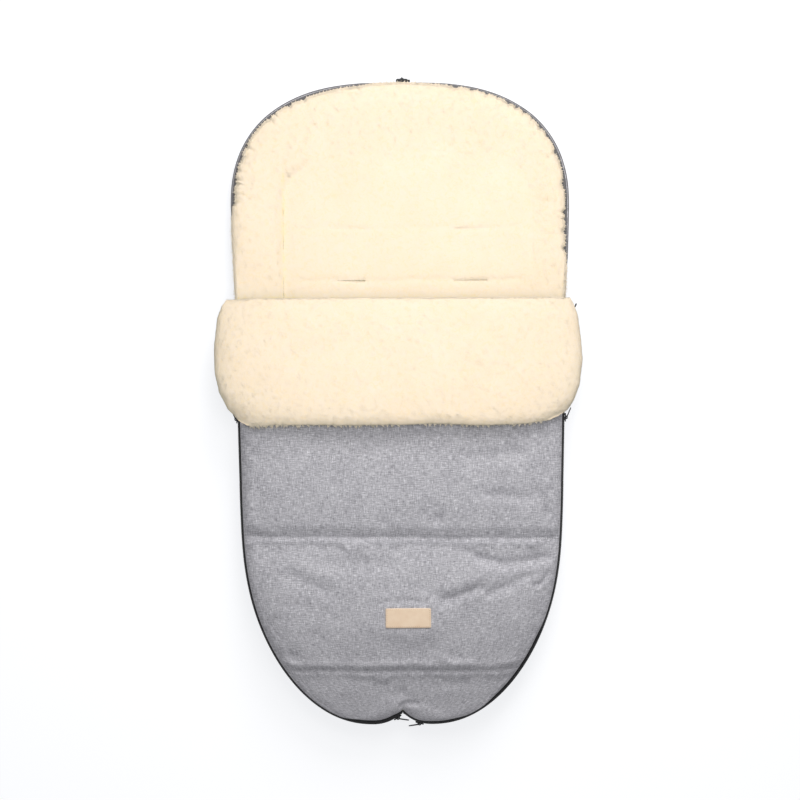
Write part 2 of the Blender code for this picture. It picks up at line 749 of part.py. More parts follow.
def build_flap(materials):
    rows = flap_rows()
    wadding_low, wadding_high = layer_heights()
    inside = RIM
    outer = cover_grid(rows, 0.0, COVER_EDGE_HIGH, COVER_CROWN_HIGH, True)
    inner = cover_grid(rows, inside - GAP, wadding_high[0] + GAP, wadding_high[1] + GAP, True)
    outer = with_skirt(outer, COVER_EDGE_LOW, False)
    inner = with_skirt(inner, COVER_EDGE_LOW, False)
    add_object("flap_shell", layer(outer, inner), materials["melange"], flap_axis())
    top = cover_grid(rows, inside, wadding_high[0], wadding_high[1], True)
    under = cover_grid(rows, inside, wadding_low[0] + GAP, wadding_low[1] + GAP, False)
    add_object("flap_wadding", layer(top, under), materials["wadding"], flap_axis())
    lining_rows = [CREASE_Y] + rows[1:]
    outer = cover_grid(lining_rows, inside, COVER_EDGE_LOW, COVER_CROWN_LOW, False)
    outer.insert(0, [Vector((p.x, p.y, q.z)) for p, q in zip(outer[0], fold_line(CREASE_Y))])
    inner = cover_grid(rows, inside, wadding_low[0], wadding_low[1], False)
    inner.insert(0, [Vector((p.x, p.y, q.z)) for p, q in zip(inner[0], fold_line(rows[0]))])
    add_object("flap_fleece", layer(outer, inner), materials["fleece"], flap_axis())


def fold_line(y):
    """Top of the flap's fold, level with the flap's shell."""
    return cover_grid([y], RIM, COVER_EDGE_HIGH, COVER_CROWN_HIGH, False)[0]


# Cuff


def cuff_side_columns():
    """Columns of the cuff: the flap's own, then one on the overhang at each side."""
    return [-2.0] + columns() + [2.0]


def cuff_row(share, inset, height):
    """One row of the cuff; share runs from the crease to the lower edge."""
    index = CUFF_ROW_SHARES.index(share)
    bulge = CUFF_BULGE_SHARES[index]
    over = CUFF_OVERHANG_AT_CREASE + (CUFF_OVERHANG - CUFF_OVERHANG_AT_CREASE) * bulge
    span = CREASE_Y - CUFF_LOWER_Y - 2 * inset
    row = []
    for across in cuff_side_columns():
        reach = min(abs(across), 1.0)
        outside = abs(across) > 1.0
        lift = CUFF_CORNER_LIFT * (1.0 if outside else reach**CUFF_CORNER_ROUNDNESS) * share**2
        y = CREASE_Y - inset - span * share + lift
        x = math.copysign(reach * body_half_width(y), across) if across else 0.0
        if outside:
            x += math.copysign(over - inset, across)
        row.append(Vector((x, y, height(reach, outside, index))))
    return row


def cuff_under(reach, outside, index):
    if outside:
        return CUFF_SIDE_LOW
    return cover_height(COVER_EDGE_HIGH, COVER_CROWN_HIGH, False, reach, CREASE_Y) + CUFF_GAP


def cuff_top(reach, outside, index):
    """Top of the fleece: a full roll that rounds down at the crease, the hem and the sides."""
    body = CUFF_BODY_SHARES[index]
    crown = COVER_CROWN_HIGH + CUFF_GAP + CUFF_THICKNESS - CUFF_END_DROP * (1 - body)
    if outside:
        return CUFF_SIDE_TOP - CUFF_END_DROP / 2 * (1 - body)
    side = CUFF_SIDE_TOP + CUFF_END_DROP
    return side + (crown - side) * crown_share(reach)


def build_cuff(materials):
    shares = CUFF_ROW_SHARES
    wrap = CUFF_FLEECE_SIDE

    def raised(rise):
        return lambda reach, outside, index: cuff_under(reach, outside, index) + rise

    def lowered(drop):
        return lambda reach, outside, index: cuff_top(reach, outside, index) - drop * (
            CUFF_SIDE_DROP_SHARE if outside else 1.0
        )

    def wrapped(grid, low_grid):
        """Turn the fleece down all round to the level of the cuff's underside."""
        rows = []
        for row, low in zip(grid, low_grid):
            start = Vector((row[0].x, row[0].y, low[0].z))
            end = Vector((row[-1].x, row[-1].y, low[-1].z))
            rows.append([start] + row + [end])
        first = [Vector((p.x, p.y, q.z)) for p, q in zip(grid[0], low_grid[0])]
        last = [Vector((p.x, p.y, q.z)) for p, q in zip(grid[-1], low_grid[-1])]
        rows.insert(0, [first[0]] + first + [first[-1]])
        rows.append([last[0]] + last + [last[-1]])
        return rows

    inner_inset = wrap + 2 * GAP
    under = [cuff_row(share, inner_inset, raised(0.0)) for share in shares]
    shell_top = [cuff_row(share, inner_inset, raised(CUFF_SHELL)) for share in shares]
    wadding_low = [cuff_row(share, inner_inset, raised(CUFF_SHELL + GAP)) for share in shares]
    wadding_top = [cuff_row(share, inner_inset, lowered(CUFF_FLEECE + GAP)) for share in shares]
    add_object("cuff_shell", layer(shell_top, under), materials["melange"], cuff_axis())
    wadding = layer(wadding_top, wadding_low)
    add_object("cuff_wadding", wadding, materials["wadding"], cuff_axis())
    outer = [cuff_row(share, 0.0, lowered(0.0)) for share in shares]
    outer_low = [cuff_row(share, 0.0, raised(0.0)) for share in shares]
    inner = [cuff_row(share, wrap, lowered(CUFF_FLEECE)) for share in shares]
    inner_low = [cuff_row(share, wrap, raised(0.0)) for share in shares]
    fleece = layer(wrapped(outer, outer_low), wrapped(inner, inner_low))
    add_object("cuff_fleece", fleece, materials["fleece"], cuff_axis())


# Label


def build_label(materials):
    shell = bpy.data.objects["cover_shell"]
    outline = moved(round_rectangle(LABEL_WIDTH, LABEL_LENGTH, LABEL_CORNER), LABEL_X, LABEL_Y)
    surface = cover_height(COVER_EDGE_HIGH, COVER_CROWN_HIGH, True, 0.0, LABEL_Y)
    low = surface - SHELL / 2
    top = surface + GAP + LABEL_THICKNESS
    label = add_object("leather_label", prism(outline, low, top), materials["leather"])
    raised = bpy.data.objects.new("raised_shell", shell.data.copy())
    bpy.context.collection.objects.link(raised)
    raised.location.z = GAP
    cut_away(label, raised)


# Zip


def path_normals(points):
    """Outward directions along the right zip's path."""
    normals = []
    for index in range(len(points)):
        before = points[max(index - 1, 0)]
        after = points[min(index + 1, len(points) - 1)]
        along = (after - before).normalized()
        normals.append(Vector((-along.y, along.x)))
    return normals


def upright_ring(inside, outside, low, high):
    return [
        Vector((inside.x, inside.y, low)),
        Vector((outside.x, outside.y, low)),
        Vector((outside.x, outside.y, high)),
        Vector((inside.x, inside.y, high)),
    ]


def lobe_ring(distance, reach, level):
    """Section of a strip on the right lobe, at a distance round it from the notch."""
    angle = notch_angle() - distance / LOBE_RADIUS
    inside = lobe_place(angle, reach[0])[0]
    outside = lobe_place(angle, reach[1])[0]
    return upright_ring(inside, outside, *level)


def zip_strip(top_y, low_y, reach, level, end_distance):
    """One strip of the right zip, between two heights on the side or round to the foot."""
    base = right_edge()
    inside_line = offset_polyline(base, reach[0])
    outside_line = offset_polyline(base, reach[1])
    rings = [upright_ring(edge_at(top_y, -reach[0]), edge_at(top_y, -reach[1]), *level)]
    last = len(base) - 1
    for index, point in enumerate(base):
        before_end = index < last if low_y is None else point.y > low_y + GAP
        if point.y < top_y - GAP and before_end:
            rings.append(upright_ring(inside_line[index], outside_line[index], *level))
    if low_y is None:
        rings.append(lobe_ring(end_distance, reach, level))
    else:
        rings.append(upright_ring(edge_at(low_y, -reach[0]), edge_at(low_y, -reach[1]), *level))
    return ring_loft(rings)


def mirrored(mesh):
    bmesh.ops.scale(mesh, vec=(-1, 1, 1), verts=mesh.verts)
    bmesh.ops.reverse_faces(mesh, faces=mesh.faces)
    return mesh


def zip_levels():
    """Heights of the two coils and the two tapes."""
    half_slit = CHAIN_SLIT / 2
    low_bead = (CHAIN_Z - half_slit - BEAD_HEIGHT, CHAIN_Z - half_slit)
    high_bead = (CHAIN_Z + half_slit, CHAIN_Z + half_slit + BEAD_HEIGHT)
    low_tape = (BACK_WALL_TOP - TAPE_LAP, low_bead[0] - GAP)
    high_tape = (high_bead[1] + GAP, COVER_EDGE_LOW + TAPE_LAP - GAP)
    return low_tape, low_bead, high_bead, high_tape


def build_zips(materials):
    low_tape, low_bead, high_bead, high_tape = zip_levels()
    tape = (GAP, GAP + TAPE_THICKNESS)
    middle = GAP + TAPE_THICKNESS / 2
    bead = (middle - BEAD_THICKNESS / 2, middle + BEAD_THICKNESS / 2)
    stop = (middle - STOP_THICKNESS / 2, middle + STOP_THICKNESS / 2)
    foot_end = ZIP_GATE + STOP_LENGTH + GAP
    hinge_top = UPPER_SLIDER_Y + SLIDER_LENGTH / 2 + GAP
    stop_y = ZIP_TOP_Y + GAP
    strips = (
        ("zip_tape_back", ZIP_TOP_Y, None, tape, low_tape, "tape"),
        ("zip_coil_back", ZIP_TOP_Y, None, bead, low_bead, "coil"),
        ("zip_tape_cover", hinge_top, None, tape, high_tape, "tape"),
        ("zip_coil_cover", hinge_top, None, bead, high_bead, "coil"),
        ("zip_tape_flap", ZIP_TOP_Y, hinge_top + GAP, tape, high_tape, "tape"),
        ("zip_coil_flap", ZIP_TOP_Y, hinge_top + GAP, bead, high_bead, "coil"),
        ("zip_top_stop_back", stop_y + STOP_LENGTH, stop_y, stop, low_bead, "slider"),
        ("zip_top_stop_flap", stop_y + STOP_LENGTH, stop_y, stop, high_bead, "slider"),
    )
    foot_stop_level = (CHAIN_Z - STOP_HEIGHT, CHAIN_Z + STOP_HEIGHT)
    for side in ("right", "left"):
        for name, top_y, low_y, reach, level, finish in strips:
            mesh = zip_strip(top_y, low_y, reach, level, foot_end)
            if side == "left":
                mirrored(mesh)
            axis = flap_axis() if "flap" in name else None
            add_object(f"{name}_{side}", mesh, materials[finish], axis)
        ends = (ZIP_GATE, ZIP_GATE + STOP_LENGTH)
        mesh = ring_loft([lobe_ring(distance, stop, foot_stop_level) for distance in ends])
        if side == "left":
            mirrored(mesh)
        add_object(f"zip_foot_stop_{side}", mesh, materials["slider"])


# Sliders and pull tabs, built with X out of the chain, Y towards the mouth and Z up


def slider_offsets():
    """Outer faces of the coils and inner faces of the slider's two plates."""
    middle = GAP + TAPE_THICKNESS / 2
    near = middle - BEAD_THICKNESS / 2 - SLIDER_PLAY
    far = middle + BEAD_THICKNESS / 2 + SLIDER_PLAY
    return near, far, middle


def plate_outline():
    """Shield-shaped plate in Y and Z, wider at the mouth."""
    half = SLIDER_LENGTH / 2
    mouth = SLIDER_MOUTH_WIDTH / 2
    tail = SLIDER_TAIL_WIDTH / 2
    corner = SLIDER_CORNER
    right = [
        Vector((-half, tail - corner)),
        Vector((-half + corner / 3, tail - corner / 3)),
        Vector((-half + corner, tail)),
        Vector((half - corner, mouth)),
        Vector((half - corner / 3, mouth - corner / 3)),
        Vector((half, mouth - corner)),
    ]
    return right + [Vector((p.x, -p.y)) for p in reversed(right)]


def side_prism(outline, low_x, high_x):
    rings = [[Vector((x, p.x, p.y)) for p in outline] for x in (low_x, high_x)]
    return ring_loft(rings)


def build_slider_mesh(name, material):
    near, far, middle = slider_offsets()
    half = SLIDER_LENGTH / 2
    outer = add_object(name, side_prism(plate_outline(), far, far + SLIDER_PLATE), material)
    plate = side_prism(plate_outline(), near - SLIDER_PLATE, near)
    inner = add_object("inner_plate", plate, material)
    overlap = SLIDER_PLATE / 2
    bridge = box(
        (near - overlap, half - BRIDGE_LENGTH, -BRIDGE_THICKNESS / 2),
        (far + overlap, half - SLIDER_PLATE / 2, BRIDGE_THICKNESS / 2),
    )
    join_on(outer, add_object("bridge", bridge, material))
    join_on(outer, inner)
    tape_room = TAPE_THICKNESS / 2 + SLIDER_PLAY
    lips = ((near - overlap, middle - tape_room), (middle + tape_room, far + overlap))
    tail = SLIDER_TAIL_WIDTH / 2
    for sign in (1, -1):
        edges = sorted((sign * (tail - FLANGE_WIDTH), sign * (tail - GAP)))
        for low_x, high_x in lips:
            flange = box(
                (low_x, -half + SLIDER_CORNER, edges[0]),
                (high_x, half - FLANGE_START, edges[1]),
            )
            join_on(outer, add_object("flange", flange, material))
    face = far + SLIDER_PLATE
    crown_outline = [
        Vector((CROWN_LENGTH / 2, face - overlap)),
        Vector((CROWN_LENGTH / 2, face + CROWN_HEIGHT / 2)),
        Vector((CROWN_LENGTH / 4, face + CROWN_HEIGHT)),
        Vector((-CROWN_LENGTH / 4, face + CROWN_HEIGHT)),
        Vector((-CROWN_LENGTH / 2, face + CROWN_HEIGHT / 2)),
        Vector((-CROWN_LENGTH / 2, face - overlap)),
    ]
    sides = (-CROWN_WIDTH / 2, CROWN_WIDTH / 2)
    rings = [[Vector((p.y, p.x, z)) for p in crown_outline] for z in sides]
    join_on(outer, add_object("crown", ring_loft(rings), material))
    eye = bmesh.new()
    bmesh.ops.create_cone(
        eye, cap_ends=True, segments=10, radius1=CROWN_EYE, radius2=CROWN_EYE, depth=2 * CROWN_WIDTH
    )
    bmesh.ops.translate(eye, vec=(face + CROWN_EYE_OFFSET, 0, 0), verts=eye.verts)
    cut_away(outer, add_object("eye_cutter", eye, material))
    return outer


def build_tab_mesh(name, material):
    """Pull tab along +Y with its bar through the crown, the bar's axis at the origin."""
    frame = TAB_FRAME
    half = TAB_WIDTH / 2
    thick = TAB_THICKNESS / 2
    outline = [
        Vector((-TAB_BAR, half - frame / 3)),
        Vector((TAB_HEAD, half)),
    ]
    for back_share, out_share in TAB_NOSE_SHARES:
        outline.append(Vector((TAB_LENGTH - half * back_share, half * out_share)))
    outline = outline + [Vector((p.x, -p.y)) for p in reversed(outline)]
    plate = add_object(name, side_prism(outline, -thick, thick), material)
    window = box((-OVERRUN, TAB_BAR, -half + frame), (OVERRUN, TAB_HEAD - frame, half - frame))
    cut_away(plate, add_object("window_cutter", window, material))
    hole = bmesh.new()
    bmesh.ops.create_cone(
        hole, cap_ends=True, segments=10, radius1=TAB_HOLE, radius2=TAB_HOLE, depth=2 * OVERRUN
    )
    bmesh.ops.rotate(hole, cent=Vector(), matrix=Matrix.Rotation(math.pi / 2, 3, "Y"), verts=hole.verts)
    bmesh.ops.translate(hole, vec=(0, TAB_LENGTH - TAB_HOLE_BACK, 0), verts=hole.verts)
    cut_away(plate, add_object("hole_cutter", hole, material))
    return plate


def place_slider(name, material, origin, outward, mouth, tab_angle, axis=None):
    """Put one slider on the chain, with its tab swung out by an angle from the mouth.

    A slider that turns about an axis hangs from an empty there."""
    turn = Matrix((outward, mouth, outward.cross(mouth))).transposed().to_4x4()
    place = Matrix.Translation(origin) @ turn
    slider = build_slider_mesh(f"slider_{name}", material)
    slider.matrix_world = place
    if axis is not None:
        pivot = bpy.data.objects.new(f"pivot_{name}", None)
        pivot.location = axis
        bpy.context.collection.objects.link(pivot)
        slider.parent = pivot
        slider.matrix_local = Matrix.Translation(-axis) @ place
    bar = Vector((slider_offsets()[1] + SLIDER_PLATE + CROWN_EYE_OFFSET, 0.0, 0.0))
    tab = build_tab_mesh(f"pull_tab_{name}", material)
    swing = Matrix.Rotation(-tab_angle, 4, "Z")
    tab.matrix_world = place @ Matrix.Translation(bar) @ swing


def build_sliders(materials):
    metal = materials["slider"]
    taper = math.atan2(HOOD_HALF_WIDTH - FOOT_HALF_WIDTH, HOOD_WIDEST_Y - FOOT_START_Y)
    side_x = body_half_width(UPPER_SLIDER_Y)
    foot_sliders = {
        "left": (FOOT_SLIDER_LEFT_ANGLE, FOOT_TAB_LEFT_ANGLE),
        "right": (FOOT_SLIDER_RIGHT_ANGLE, FOOT_TAB_RIGHT_ANGLE),
    }
    for side, sign in (("right", 1), ("left", -1)):
        origin = Vector((sign * side_x, UPPER_SLIDER_Y, CHAIN_Z))
        outward = Vector((sign * math.cos(taper), -math.sin(taper), 0.0))
        mouth = Vector((sign * math.sin(taper), math.cos(taper), 0.0))
        place_slider(f"upper_{side}", metal, origin, outward, mouth, UPPER_TAB_ANGLE)
        angle, tab_angle = foot_sliders[side]
        spot, down = lobe_place(angle)
        origin = Vector((sign * spot.x, spot.y, CHAIN_Z))
        outward = Vector((sign * down.x, down.y, 0.0))
        mouth = Vector((sign * down.y, -down.x, 0.0))
        axis = Vector((sign * FOOT_LOBE_X, FOOT_END_Y + LOBE_RADIUS, CHAIN_Z))
        place_slider(f"foot_{side}", metal, origin, outward, mouth, tab_angle, axis)


def build_tail(materials):
    """Loose end of tape that stands out of the right end of the crease in a V."""
    start = edge_at(ZIP_TOP_Y, -(GAP + TAPE_THICKNESS + GAP))
    points = []
    for run_share, drop_share in TAIL_SHARES:
        drop = TAIL_DROP * drop_share
        points.append(Vector((start.x + TAIL_RUN * run_share, ZIP_TOP_Y - drop)))
    hook_x = start.x + TAIL_RUN + TAIL_HOOK * TAIL_HOOK_LEAN
    points.append(Vector((hook_x, ZIP_TOP_Y - TAIL_DROP + TAIL_HOOK)))
    normals = path_normals(points)
    mesh = ribbon(points, normals, 0.0, TAIL_THICKNESS, TAIL_Z, TAIL_Z + TAIL_HEIGHT)
    add_object("zip_tail_right", mesh, materials["tape"], flap_axis())


# Hood drawcord and lock


def cord_route():
    """Route from one sewn end round inside the hem, out through the lock and back."""
    channel = SHELL + GAP + CORD / 2 + CORD_CLEARANCE
    loop = inset_loop(body_outline(), channel)[: HOOD_STEPS + 1]
    half_pitch = CORD_PITCH / 2
    y_hem = HOOD_TOP_Y - channel
    right_end = Vector((body_half_width(CORD_END_Y) - channel, CORD_END_Y))
    left_end = Vector((-right_end.x, CORD_END_Y))
    middle = HOOD_STEPS // 2
    out_y = HOOD_TOP_Y + GAP + LOCK_DEPTH
    turn = CORD_PITCH
    right = [right_end] + loop[:middle]
    left = loop[middle + 1 :] + [left_end]
    exit_right = [
        Vector((LOCK_X + half_pitch + 2 * turn, y_hem)),
        Vector((LOCK_X + half_pitch + turn / 3, y_hem + turn / 8)),
        Vector((LOCK_X + half_pitch, HOOD_TOP_Y)),
        Vector((LOCK_X + half_pitch, out_y)),
        Vector((LOCK_X, out_y + half_pitch)),
    ]
    exit_left = [Vector((2 * LOCK_X - p.x, p.y)) for p in reversed(exit_right[:-1])]
    return right + exit_right + exit_left + left


def build_cord(materials):
    points = [Vector((p.x, p.y, CORD_Z)) for p in cord_route()]
    curve = bpy.data.curves.new("hood_cord", "CURVE")
    curve.dimensions = "3D"
    curve.bevel_depth = CORD / 2
    curve.bevel_resolution = 1
    curve.use_fill_caps = True
    line = curve.splines.new("POLY")
    line.points.add(len(points) - 1)
    for point, place in zip(line.points, points):
        point.co = (*place, 1.0)
    curve.materials.append(materials["cord"])
    cord = bpy.data.objects.new("hood_cord", curve)
    bpy.context.collection.objects.link(cord)


def build_lock(materials):
    """Cord lock across the hood's top edge: body, sprung plunger and spring."""
    plastic = materials["plastic"]
    near_y = HOOD_TOP_Y + GAP
    outline = round_rectangle(LOCK_LENGTH, LOCK_HEIGHT, LOCK_EDGE * 2)
    rings = []
    stops = [(0.0, LOCK_EDGE)] + [(share, 0.0) for share in LOCK_END_SHARES] + [(1.0, LOCK_EDGE)]
    for share, inset in stops:
        loop = inset_loop(outline, inset)
        y = near_y + LOCK_DEPTH * share
        rings.append([Vector((LOCK_X + p.x, y, CORD_Z + p.y)) for p in loop])
    body = add_object("cord_lock_body", ring_loft(rings), plastic)
    half = LOCK_LENGTH / 2
    middle_y = near_y + LOCK_DEPTH / 2
    bore_y = LOCK_DEPTH / 2 - LOCK_WALL
    bore_z = LOCK_HEIGHT / 2 - LOCK_WALL
    bore = box(
        (LOCK_X - half + LOCK_BACK, middle_y - bore_y, CORD_Z - bore_z),
        (LOCK_X + half + OVERRUN, middle_y + bore_y, CORD_Z + bore_z),
    )
    cut_away(body, add_object("bore_cutter", bore, plastic))
    reach = CORD_PITCH / 2 + CORD / 2 + CORD_CLEARANCE
    tall = CORD / 2 + CORD_CLEARANCE
    passage = box(
        (LOCK_X - reach, near_y - OVERRUN, CORD_Z - tall),
        (LOCK_X + reach, near_y + LOCK_DEPTH + OVERRUN, CORD_Z + tall),
    )
    cut_away(body, add_object("passage_cutter", passage, plastic))
    plunger = box(
        (LOCK_X - half + LOCK_BACK + PLUNGER_SEAT, middle_y - bore_y + GAP, CORD_Z - bore_z + GAP),
        (LOCK_X + half + PLUNGER_BUTTON, middle_y + bore_y - GAP, CORD_Z + bore_z - GAP),
    )
    slot = box(
        (LOCK_X - reach, near_y - OVERRUN, CORD_Z - tall),
        (LOCK_X + reach + PLUNGER_TRAVEL, near_y + LOCK_DEPTH + OVERRUN, CORD_Z + tall),
    )
    push = add_object("cord_lock_plunger", plunger, plastic, (LOCK_X, middle_y, CORD_Z))
    cut_away(push, add_object("slot_cutter", slot, plastic))
    build_spring(materials, middle_y)


def build_spring(materials, middle_y):
    """Coil spring behind the plunger, along X."""
    start = LOCK_X - LOCK_LENGTH / 2 + LOCK_BACK + GAP + SPRING_WIRE / 2
    length = PLUNGER_SEAT - 2 * GAP - SPRING_WIRE
    radius = SPRING_DIAMETER / 2
    count = SPRING_TURNS * SPRING_POINTS_PER_TURN
    curve = bpy.data.curves.new("cord_lock_spring", "CURVE")
    curve.dimensions = "3D"
    curve.bevel_depth = SPRING_WIRE / 2
    curve.bevel_resolution = 0
    curve.use_fill_caps = True
    line = curve.splines.new("POLY")
    line.points.add(count)
    for step, point in enumerate(line.points):
        angle = 2 * math.pi * step / SPRING_POINTS_PER_TURN
        x = start + length * step / count
        y = middle_y + radius * math.cos(angle)
        point.co = (x, y, CORD_Z + radius * math.sin(angle), 1.0)
    curve.materials.append(materials["spring"])
    spring = bpy.data.objects.new("cord_lock_spring", curve)
    bpy.context.collection.objects.link(spring)


def main():
    clear_scene()
    materials = make_materials()
    build_back_shell(materials)
    build_back_wadding(materials)
    build_back_lining(materials)
    build_slot_bindings(materials)
    build_cover(materials)
    build_flap(materials)
    build_cuff(materials)
    build_label(materials)
    build_zips(materials)
    build_sliders(materials)
    build_tail(materials)
    build_cord(materials)
    build_lock(materials)
    bpy.context.view_layer.update()


main()
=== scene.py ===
"""Looks of the stroller footmuff: padded back with a fleece-lined hood, quilted melange cover,
deep fleece cuff, zips, drawcord and label. X runs across, Y towards the hood, Z up; metres."""

import json
import math

import bmesh
import bpy
import numpy as np
from mathutils import Matrix, Vector, noise
from mathutils.geometry import delaunay_2d_cdt

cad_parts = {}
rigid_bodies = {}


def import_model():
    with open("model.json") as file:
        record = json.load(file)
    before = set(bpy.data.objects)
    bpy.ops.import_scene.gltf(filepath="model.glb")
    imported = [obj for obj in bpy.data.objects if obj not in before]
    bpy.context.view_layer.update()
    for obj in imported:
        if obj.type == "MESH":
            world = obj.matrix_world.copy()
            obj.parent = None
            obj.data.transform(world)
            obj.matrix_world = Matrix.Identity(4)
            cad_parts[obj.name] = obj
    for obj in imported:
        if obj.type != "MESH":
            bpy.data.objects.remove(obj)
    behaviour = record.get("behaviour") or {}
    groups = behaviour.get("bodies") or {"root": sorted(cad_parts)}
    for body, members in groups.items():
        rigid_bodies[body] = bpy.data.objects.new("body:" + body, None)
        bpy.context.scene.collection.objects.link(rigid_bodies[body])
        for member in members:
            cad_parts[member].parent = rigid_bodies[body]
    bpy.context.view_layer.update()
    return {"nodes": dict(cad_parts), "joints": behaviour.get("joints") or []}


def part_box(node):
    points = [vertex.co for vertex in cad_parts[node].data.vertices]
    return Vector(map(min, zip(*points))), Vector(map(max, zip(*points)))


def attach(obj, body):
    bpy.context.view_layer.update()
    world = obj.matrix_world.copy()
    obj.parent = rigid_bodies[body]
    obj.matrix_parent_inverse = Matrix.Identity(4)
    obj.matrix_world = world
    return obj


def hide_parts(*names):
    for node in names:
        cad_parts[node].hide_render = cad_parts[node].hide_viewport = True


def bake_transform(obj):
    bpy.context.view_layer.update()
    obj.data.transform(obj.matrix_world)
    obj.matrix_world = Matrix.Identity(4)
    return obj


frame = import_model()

joints = {joint["name"]: joint for joint in frame["joints"]}
noise.seed_set(3)  # without a seed of its own, noise_vector follows the clock

MM = 0.001

# Plan of the footmuff, taken from the solids and their joints
HOOD_TOP_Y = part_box("back_shell")[1].y
HALF_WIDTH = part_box("back_shell")[1].x
FOOT_END_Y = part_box("back_shell")[0].y
FOOT_LOBE_X = joints["foot_right_slider_run"]["pos_m"][0]
LOBE_CENTRE_Y = joints["foot_right_slider_run"]["pos_m"][1]
LOBE_RADIUS = LOBE_CENTRE_Y - FOOT_END_Y
HINGE_Y = joints["flap_lift"]["pos_m"][1]
CROWN_Z = joints["flap_lift"]["pos_m"][2]
CREASE_Y = joints["cuff_unfold"]["pos_m"][1]
SIDE_TAPER = abs(joints["upper_right_slider_run"]["axis"][0])
CHAIN_Z = joints["foot_right_slider_run"]["pos_m"][2]
HOOD_WIDEST_Y = 292 * MM
HOOD_ROUNDNESS = 2.65
FOOT_START_Y = -118 * MM
FOOT_ROUNDNESS = 2.15
CROWN_ROUNDNESS = 10
NOTCH_REACH = 75 * MM
FOOT_HALF_WIDTH = HALF_WIDTH - SIDE_TAPER * (HOOD_WIDEST_Y - FOOT_START_Y)

# Inner panel of the back lining
PANEL_SHIFT = 12 * MM
PANEL_HALF_WIDTH = 187 * MM
PANEL_TOP_Y = 377 * MM
PANEL_FOOT_Y = -420 * MM
PANEL_FOOT_HALF_WIDTH = 178 * MM
PANEL_FOOT_FLAT = 40 * MM

# Heights
WADDING_TOP = 21.6 * MM
LINING_UNDER = WADDING_TOP + 0.3 * MM
LINING_TOP = 31 * MM
COVER_EDGE_LOW = 42.5 * MM
COVER_EDGE = 50 * MM
LINING_CROWN_LOW = 57 * MM
LINING_CROWN_HIGH = 62 * MM

# Camera: straight above, 1.5 mm of the zip's level to each of the photograph's 800 pixels
PIXEL = 1.5 * MM
PHOTO_MIDDLE = (401.0, 401.5)
CAMERA_HEIGHT = 3.0
VIEW_WIDTH = 800 * PIXEL
CAMERA_TURN = math.radians(-0.33)


def photo_place(column, row, z=CHAIN_Z):
    """Point at height z that shows at a pixel of the photograph."""
    nearer = 1 - (z - CHAIN_Z) / CAMERA_HEIGHT
    x = (column - PHOTO_MIDDLE[0]) * PIXEL * nearer
    y = (PHOTO_MIDDLE[1] - row) * PIXEL * nearer
    cosine, sine = math.cos(CAMERA_TURN), math.sin(CAMERA_TURN)
    return np.array([x * cosine - y * sine, x * sine + y * cosine])


def smooth(low, high, value):
    """From 0 at low to 1 at high, with soft ends; low may be the larger."""
    share = np.clip((value - low) / (high - low), 0, 1)
    return share * share * (3 - 2 * share)


def bell(away, width):
    """One at no distance, and falling off smoothly over the width."""
    return np.exp(-((away / width) ** 2))


def cloud(points, size, seed):
    """Smooth noise from -1 to 1 at each point, its lumps about the given size across."""
    offset = Vector((seed * 17.3, seed * 5.1, seed * 9.7))
    return np.array([noise.noise(Vector(p) / size + offset) for p in points])


def cloud_along(values, size, seed):
    """The same noise for lengths along one line."""
    flat = np.ravel(values)
    points = np.column_stack([flat, 0 * flat, 0 * flat])
    return cloud(points, size, seed).reshape(np.shape(values))


def cells(points, size, seed):
    """Rounded cells like locks of wool, 1 in their middles and 0 in the creases between them."""
    offset = Vector((seed * 3.7, seed * 11.9, seed * 6.1))
    values = []
    for p in points:
        place = Vector(p) / size + offset
        place += 0.6 * noise.noise_vector(place * 0.9)
        near = noise.voronoi(place)[0]
        values.append(min((near[1] - near[0]) * 1.6, 1.0))
    return np.array(values)


# Meshes


def linked(name, data):
    """New object in the scene that shows the given data."""
    thing = bpy.data.objects.new(name, data)
    bpy.context.scene.collection.objects.link(thing)
    return thing


def add_piece(name, verts, faces, corner_uv=None):
    """New mesh object, with a UV map in metres of cloth where one is given."""
    data = bpy.data.meshes.new(name)
    data.from_pydata([tuple(v) for v in verts], [], faces)
    if corner_uv is not None:
        layer = data.uv_layers.new(name="cloth")
        layer.data.foreach_set("uv", np.asarray(corner_uv, np.float32).ravel())
    return linked(name, data)


WELD = 0.02 * MM


def close_up(piece):
    """Weld the piece's seams, turn its faces outwards and shade it smooth."""
    mesh = bmesh.new()
    mesh.from_mesh(piece.data)
    bmesh.ops.remove_doubles(mesh, verts=mesh.verts, dist=WELD)
    bmesh.ops.dissolve_degenerate(mesh, dist=WELD / 2, edges=mesh.edges)
    bmesh.ops.recalc_face_normals(mesh, faces=mesh.faces)
    mesh.to_mesh(piece.data)
    mesh.free()
    piece.data.shade_smooth()
    return piece


def sharpen(piece):
    """Keep the shading of a pad's top apart from its hidden side walls."""
    mesh = bmesh.new()
    mesh.from_mesh(piece.data)
    for edge in mesh.edges:
        edge.smooth = edge.calc_face_angle(0.0) < 0.9
    mesh.to_mesh(piece.data)
    mesh.free()


def vectors(collection, key):
    """One vector of each element, as rows."""
    values = np.empty(len(collection) * 3)
    collection.foreach_get(key, values)
    return values.reshape(-1, 3)


def points_and_normals(piece):
    return vectors(piece.data.vertices, "co"), vectors(piece.data.vertex_normals, "vector")


def place_points(piece, points):
    piece.data.vertices.foreach_set("co", np.asarray(points, float).ravel())
    piece.data.update()


def store(piece, name, values):
    """Keep a value at each point, for a material or a tree of nodes to read."""
    attribute = piece.data.attributes.new(name, "FLOAT", "POINT")
    attribute.data.foreach_set("value", np.asarray(values, np.float32))


def sheet_faces(rows, columns, start=0, flip=False):
    """Quads of a grid of points."""
    faces = []
    for i in range(rows - 1):
        for j in range(columns - 1):
            a = start + i * columns + j
            quad = (a, a + 1, a + columns + 1, a + columns)
            faces.append(quad[::-1] if flip else quad)
    return faces


